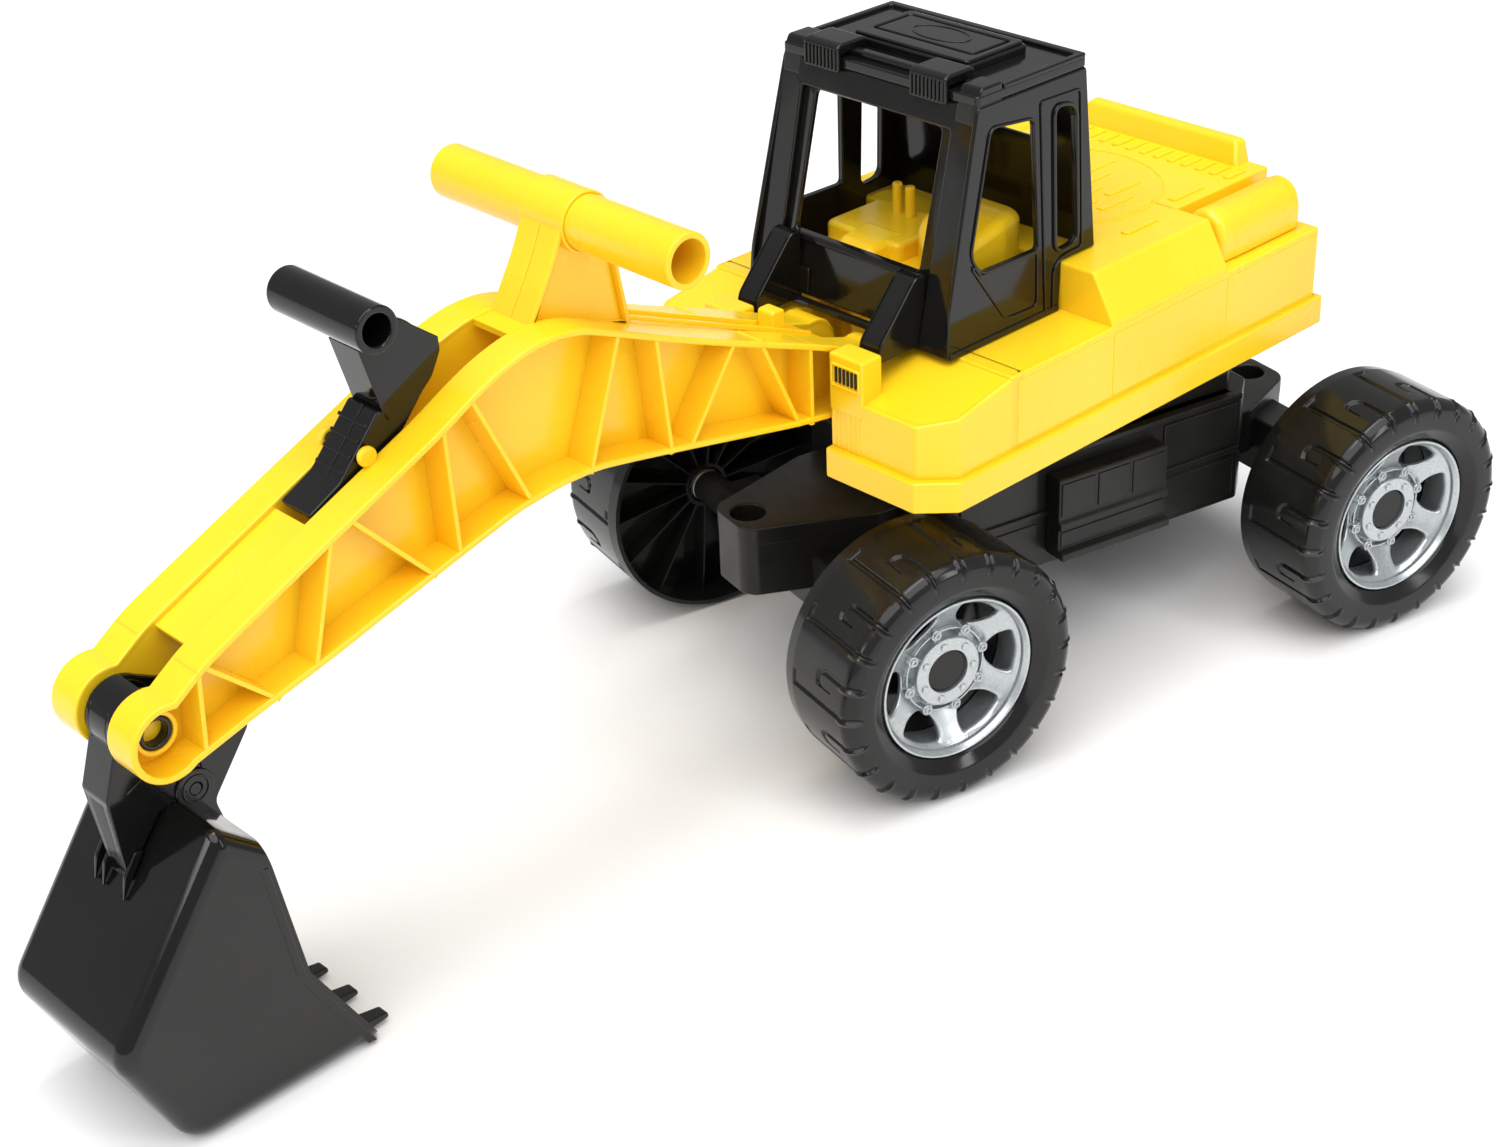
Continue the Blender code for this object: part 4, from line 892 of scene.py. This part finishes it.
def makeBoom(v):
    outline = boomOutline(v)
    side = [slab([outline, inset(outline, v["flange"])], v["cheek"], v["half"], "side", 0.9),
            slab(inset(outline, 1), v["cheek"] + 0.05, v["web"], "side", 0.4)]
    side += [slab(strip(a, b, 1.0), v["web"] - 0.6, v["half"] - 0.4, "side", 0.35) for a, b in trussRibs]
    for place, radius, bore, high in ((bucketPivot, 9.6, 7.5, 19), (boomPivot, 8.3, 4.3, 18)):
        side.append(tubeShell(place, radius, bore, v["cheek"] + 0.1, high, 0.8))
    side.append(knob((0, *leverPivot), 4.4, v["cheek"] + 0.1, 14.6, "side", 1.6, 32))
    shells = []
    for part in side:
        shells += pair(part)
    # a plate over the rear, a sloping floor near the tip, and the grip's upright with its raised rims
    top = [point for point in boomTop if point[0] < 343] + [(160, 211.6)]
    ridge = np.array([(343, 276.9)] + top)
    shells.append(slab(np.concatenate([ridge - (0, 1.0), (ridge - (0, 3.8))[::-1]]), -12.2, 12.2, "side",
                       0.5))
    shells.append(slab(rounded(strip((509, 201), (448, 228.2), 1.5), 0.6), -12.2, 12.2, "side", 0.5))
    upright = rounded([(278, 258), (334, 274), (318, 300), (310.5, 318), (288, 318), (285, 300)],
                      [1, 1, 20, 3, 3, 20], 6)
    shells += pair(slab([upright, inset(oriented(upright), 2.4)], 0.1, 12.8, "side", 0.9))
    shells.append(slab(inset(oriented(upright), 1.2), -9.6, 9.6, "side", 0.6))
    shells.append(tubeShell(v["grip"], v["gripRadius"] + 1.5, v["gripRadius"] + 0.1, -13.8, 13.8, 1.3, 72))
    for u in (-6, 6):                                           # long ribs and a small tab on the rear top
        shells.append(slab(rounded([(165, 212), (280, 260), (280, 262), (165, 215)], 0.4), u - 0.8, u + 0.8,
                           "side", 0.4))
    shells.append(slab(rounded([(180, 219), (188, 222), (188, 231), (180, 231)], [0.5, 0.5, 2, 2]), -5, 5,
                       "side", 0.8))
    makePiece("boom_moulding", shells, houseAxes, yellowPlastic, "boom", ["boom"])
    r, half = v["gripRadius"], v["gripHalf"]
    tube = rounded([(9.2, -half), (r, -half), (r + 0.05, 0), (r, half), (9.2, half)],
                   [0.8, 1.2, 0, 1.2, 0.8], 5)
    makePiece("grip_tube", [lathe(tube, 96, "side", (0, *v["grip"]))], houseAxes, yellowPlastic, "boom",
              ["boom_grip"])
    pin = knob((0, *leverPivot), 2.8, -13, 13, "side", 0.6)
    makePiece("lever_pivot_pin", [pin], houseAxes, blackGloss, "boom", ["lever_pin"])
    ring = tubeShell(bucketPivot, v["tube"], 5.2, -18.6, 18.6, 0.8)
    makePiece("bucket_pivot_tube", [ring], houseAxes, blackGloss, "boom", ["bucket_tube"])
    print("boom made")


makeBoom(boomValues)


# Lever, rod, arm and bucket

leverValues = {"blade": 10.0, "tail": 6.8, "knee": 10.1, "tubeAt": (417.8, 308.6), "tube": 9.9, "bore": 6.6,
               "half": 29.7}


def makeLever(v):
    blade = rounded([(446.8, 233), (445, 229.6), (436, 228.5), (431, 231), (418, 238), (404, 246),
                     (378, 275), (376.5, 284),
                     (392, 299), (410, 306), (413, 290), (402, 262), (409, 265), (431, 241)],
                    [1, 1, 1, 2, 2, 3, 3, 3, 3, 3, 2, 3, 2, 2])
    tail = rounded([(436, 236), (431, 228), (412, 203.5), (401.5, 201.5), (394.5, 207), (394.5, 216),
                    (404, 248),
                    (420, 250)], [2, 3, 5, 5, 5, 4, 3, 2])
    shells = [slab(blade, -v["blade"], v["blade"], "side", 0.9)] + pair(slab(tail, 3.8, v["tail"], "side",
                                                                             0.6))
    gusset = rounded([(381.5, 270.2), (376.2, 279.8), (376.4, 286), (394.3, 299.9), (404, 303), (412, 299),
                      (413.7, 292.9),
                      (404.9, 259.3), (398, 256)], [2, 2, 3, 3, 3, 2, 2, 3, 2])
    shells += pair(slab(gusset, v["knee"] - 2.2, v["knee"], "side", 0.5)) + [slab(gusset, -1.2, 1.2, "side",
                                                                                  0.5)]
    crest = np.array([(381.5, 270.2), (376.2, 279.8), (376.4, 286), (394.3, 299.9)])
    band = np.concatenate([crest, (crest + (2.6, -0.6))[::-1]])
    shells.append(slab(band, -v["knee"] + 0.1, v["knee"] - 0.1, "side", 0.5))
    for a, b in (((413.7, 292.9), (404.9, 259.3)), ((404.9, 259.3), (383, 271)), ((388, 288), (410, 280))):
        shells.append(slab(strip(a, b, 1.0), -v["knee"] + 0.1, v["knee"] - 0.1, "side", 0.4))
    for share in (0.2, 0.42, 0.64, 0.86):                        # grip ribs across the blade's face
        at = np.array([411, 265]) + (np.array([431, 241]) - (411, 265)) * share
        shells.append(slab(rounded(strip(at - (1.4, 1.3), at + (0.5, 0.45), 0.8), 0.3), -v["blade"] + 0.8,
                           v["blade"] - 0.8,
                           "side", 0.5))
    shells.append(slab(strip((409, 264.6), (431, 240.6), 0.7), -0.9, 0.9, "side", 0.3))
    shells += pair(tubeShell(rodRearPin, 6.4, 2.8, 3.8, v["tail"] + 0.1, 0.4))
    shells.append(tubeShell(v["tubeAt"], v["tube"], v["bore"], -v["half"], v["half"], 1.0, 72))
    shells.append(knob((0, *v["tubeAt"]), v["bore"] + 0.2, -12, 12, "side", 0.3))
    makePiece("lever_moulding", shells, houseAxes, blackGloss, "lever", ["lever"])
    elbow = np.array([484, 176.5])
    rod = [slab(rounded(strip(rodRearPin, elbow, 4), 0.5), -1.2, 1.2, "side", 0.4),
           slab(rounded(strip(elbow, rodFrontPin, 4), 0.5), -1.2, 1.2, "side", 0.4)]
    for a, b in ((np.array(rodRearPin), elbow), (elbow, np.array(rodFrontPin))):
        normal = unit(np.array([-(b - a)[1], (b - a)[0]]))
        rod += [slab(rounded(strip(a + normal * k, b + normal * k, 0.8), 0.3), -3, 3, "side",
                     0.4) for k in (-3.6, 3.6)]
    rod += [tubeShell(rodRearPin, 6.5, 2.8, -3.2, 3.2, 0.5),
            tubeShell(rodFrontPin, 6.5, 3.4, -3.2, 3.2, 0.5),
            knob((0, *elbow), 4.8, -3, 3, "side", 0.5)]
    makePiece("rod_moulding", rod, houseAxes, blackGloss, "rod", ["link_rod"])
    print("lever and rod made")


makeLever(leverValues)

armValues = {"head": 14.5, "cheekIn": 6.0, "cheekOut": 9.3, "spine": 6.2, "footShare": 0.64}


def makeArm(v):
    cheek = np.concatenate([arc(bucketPivot, v["head"], 130, -20, 20),
                            rounded([(554, 150), (549.8, 109.2), (532.3, 134.2), (526, 136.7), (507, 111.8),
                                     (504.5, 114),
                                     (508, 128), (487.8, 154.5), (487, 164), (497, 176)],
                                    [3, 1, 1, 1, 1, 1, 3, 3, 3, 3])])
    shells = pair(slab(cheek, v["cheekIn"], v["cheekOut"], "side", 0.8))
    spine = np.concatenate([arc(bucketPivot, v["head"], 60, -20, 12),
                            rounded([(554, 150), (549.8, 109.2), (532.3, 134.2), (528, 150), (541, 166)],
                                    [3, 1, 1, 3, 3])])
    shells.append(slab(spine, -v["spine"], v["spine"], "side", 0.6))
    cover = np.concatenate([arc(bucketPivot, v["head"], 100, 40, 9), arc(bucketPivot, 9, 40, 100, 9)])
    shells.append(slab(cover, -9.2, 9.2, "side", 0.5))
    face = [(554, 150), (549.8, 109.2), (547, 113.5), (550, 150)]
    brow = unit(np.array(bucketPivot) - (546.4, 171.5)) * 4 + (546.4, 171.5)
    shells.append(slab(rounded([(546.4, 171.5), *face, brow], 0.8), -9.25, 9.25, "side", 0.8))
    for points, faces in shells:                                # the arm narrows towards its foot
        narrow = np.interp(points[:, 2], [108, 150], [v["footShare"], 1.0])
        points[:, 0] *= np.where(points[:, 1] > 530, narrow, 1)
    shells += pair(tubeShell(bucketPivot, 13.2, 7.6, 4.0, 10.2, 0.6)) + [tubeShell(bucketPivot, 10.8, 7.6,
                                                                                   -4.2, 4.2, 0.3)]
    shells += pair(tubeShell(rodFrontPin, 8.8, 2.8, 5.8, 10.6, 0.7))
    shells += pair(tubeShell(rodFrontPin, 6.4, 5.4, 9.6, 11.1, 0.3))
    # raised lines on the arm's cheeks
    for a, b in (((499, 163), (524, 160)), ((524, 160), (545, 150)), ((513, 156), (509, 133))):
        shells += pair(slab(rounded(strip(a, b, 0.6), 0.2), 8.8, 9.9, "side", 0.3))
    makePiece("arm_moulding", shells, houseAxes, blackGloss, "bucket", ["bucket_arm"])


bucketValues = {"half": 43.2, "wall": 2.6, "edge": 8.0, "teeth": (-33, -11, 11, 33)}


def makeBucket(v):
    # a round-edged body, less its hollow and less all that stands before the cheeks' free edges
    back = [(457, 0.2), (487, 55), (496, 112), (527, 138.5), (588, 56.4), (561.8, 0.2)]
    inside = [(430, 2.8), (430, 80), (480, 112), (509.5, 110.2), (527, 134), (584.8, 56), (560, 2.8)]
    before = [(420, -10), (462.3, -10), (468, 0.2), (498, 53.5), (507, 111), (512, 145), (420, 145)]
    outer = cushioned(back, [0.6, 3, 2, 5, 9.5, 10], -v["half"], v["half"], "side", v["edge"], 8)
    hollow = cushioned(inside, [1, 1, 1, 2, 3, 8, 8], -v["half"] + v["wall"], v["half"] - v["wall"], "side",
                       5.4)
    shells = [carved([outer], [hollow, slab(before, -60, 60, "side", 0.1, 1)])]
    # band round each cheek's open edge, teeth below the lip and gussets by the arm's foot
    for low in (-v["half"] - 0.5, v["half"] - 2.2):
        band = np.array([(509, 113), (500, 54), (471.5, 1.5), (476, 1.5), (504, 53), (513, 113)])
        shells.append(slab(rounded(band, [1, 3, 0.5, 0.5, 3, 1]), low, low + 2.7, "side", 0.7))
    for at in v["teeth"]:
        tooth = rounded([(459.5, 2.0), (478, 1.0), (482, 1.0), (482, 5.4), (474, 7), (460, 5)],
                        [1.4, 1, 0.5, 0.5, 1, 1.4])
        points, faces = slab(tooth, -4.2, 4.2, "side", 0.9)
        points[:, 0] *= np.interp(points[:, 1], [459, 476], [0.72, 1.0])
        shells.append((points + (at, 0, 0), faces))
    for low in (6.6, -8.4, -14.5):
        gusset = rounded([(542, 121), (554.5, 103), (552.5, 113), (546, 122)], [0.5, 0.5, 1, 1])
        shells.append(slab(gusset, low, low + 1.7, "side", 0.5))
    makePiece("bucket_moulding", shells, houseAxes, blackGloss, "bucket", ["bucket"])
    print("bucket made")


makeArm(armValues)
makeBucket(bucketValues)


# Floor, light and camera

studio = {"floor": 0.92, "floorReach": 12.0, "floorAt": -0.0008, "world": 0.42, "sun": 2.7, "sunSpread": 70,
          "key": 9, "fill": 8, "front": 5}


def plain(name, tone, roughness):
    material = bpy.data.materials.new(name)
    material.use_nodes = True
    shader = material.node_tree.nodes["Principled BSDF"]
    shader.inputs["Base Color"].default_value = (tone, tone, tone, 1)
    shader.inputs["Roughness"].default_value = roughness
    return material


def softBox(name, place, target, size, power):
    data = bpy.data.lights.new(name, "AREA")
    data.shape = "RECTANGLE"
    data.size, data.size_y = size
    data.energy = power
    light = bpy.data.objects.new(name, data)
    light.location = place
    light.rotation_euler = (Vector(target) - Vector(place)).to_track_quat("-Z", "Y").to_euler()
    bpy.context.scene.collection.objects.link(light)


def makeStudio(v):
    mesh = bpy.data.meshes.new("floor")
    reach, level = v["floorReach"], v["floorAt"]
    mesh.from_pydata([(-reach, -reach, level), (reach, -reach, level), (reach, reach, level),
                      (-reach, reach, level)], [], [(0, 1, 2, 3)])
    mesh.materials.append(plain("paleFloor", v["floor"], 0.6))
    floor = bpy.data.objects.new("floor", mesh)
    bpy.context.scene.collection.objects.link(floor)
    world = bpy.data.worlds.new("studio")
    world.use_nodes = True
    world.node_tree.nodes["Background"].inputs["Color"].default_value = (1, 1, 1, 1)
    world.node_tree.nodes["Background"].inputs["Strength"].default_value = v["world"]
    bpy.context.scene.world = world
    softBox("overhead", (-0.1, 0.2, 1.9), (0, 0, 0.1), (0.35, 1.8), v["key"])
    softBox("leftFill", (1.9, 0.9, 1.1), (0, 0, 0.15), (0.28, 1.3), v["fill"])
    softBox("frontFill", (0.2, -2.2, 1.0), (0, 0, 0.15), (1.3, 0.25), v["front"])
    data = bpy.data.lights.new("broadSun", "SUN")
    data.energy = v["sun"]
    data.angle = math.radians(v["sunSpread"])
    sun = bpy.data.objects.new("broadSun", data)
    sun.rotation_euler = Vector((-0.35, 0.3, -1)).to_track_quat("-Z", "Y").to_euler()
    bpy.context.scene.collection.objects.link(sun)


# angles in degrees, and a place in metres from the slew's centre on the ground
cameraValues = {"azimuth": 59.288, "elevation": 31.106, "roll": -1.954, "lens": 59.98, "sensor": 36,
                "shift": (-0.0278, 0.031), "place": (0.9491, -0.7131, 0.6993)}


def makeCamera(v):
    data = bpy.data.cameras.new("view")
    data.sensor_width = v["sensor"]
    data.lens = v["lens"]
    data.shift_x, data.shift_y = v["shift"]
    a, e, r = (math.radians(v[key]) for key in ("azimuth", "elevation", "roll"))
    back = np.array([math.sin(a) * math.cos(e), -math.cos(a) * math.cos(e), math.sin(e)])
    right = np.array([math.cos(a), math.sin(a), 0])
    up = np.cross(back, right)
    columns = np.stack([right * math.cos(r) + up * math.sin(r), up * math.cos(r) - right * math.sin(r),
                        back], 1)
    place = np.eye(4)
    place[:3, :3] = columns
    place[:3, 3] = np.array(v["place"]) + slewCentre
    camera = bpy.data.objects.new("camera", data)
    camera.matrix_world = Matrix(place.tolist())
    bpy.context.scene.collection.objects.link(camera)
    bpy.context.scene.camera = camera


makeStudio(studio)
makeCamera(cameraValues)
bpy.context.scene.view_settings.view_transform = "Standard"
bpy.context.view_layer.update()
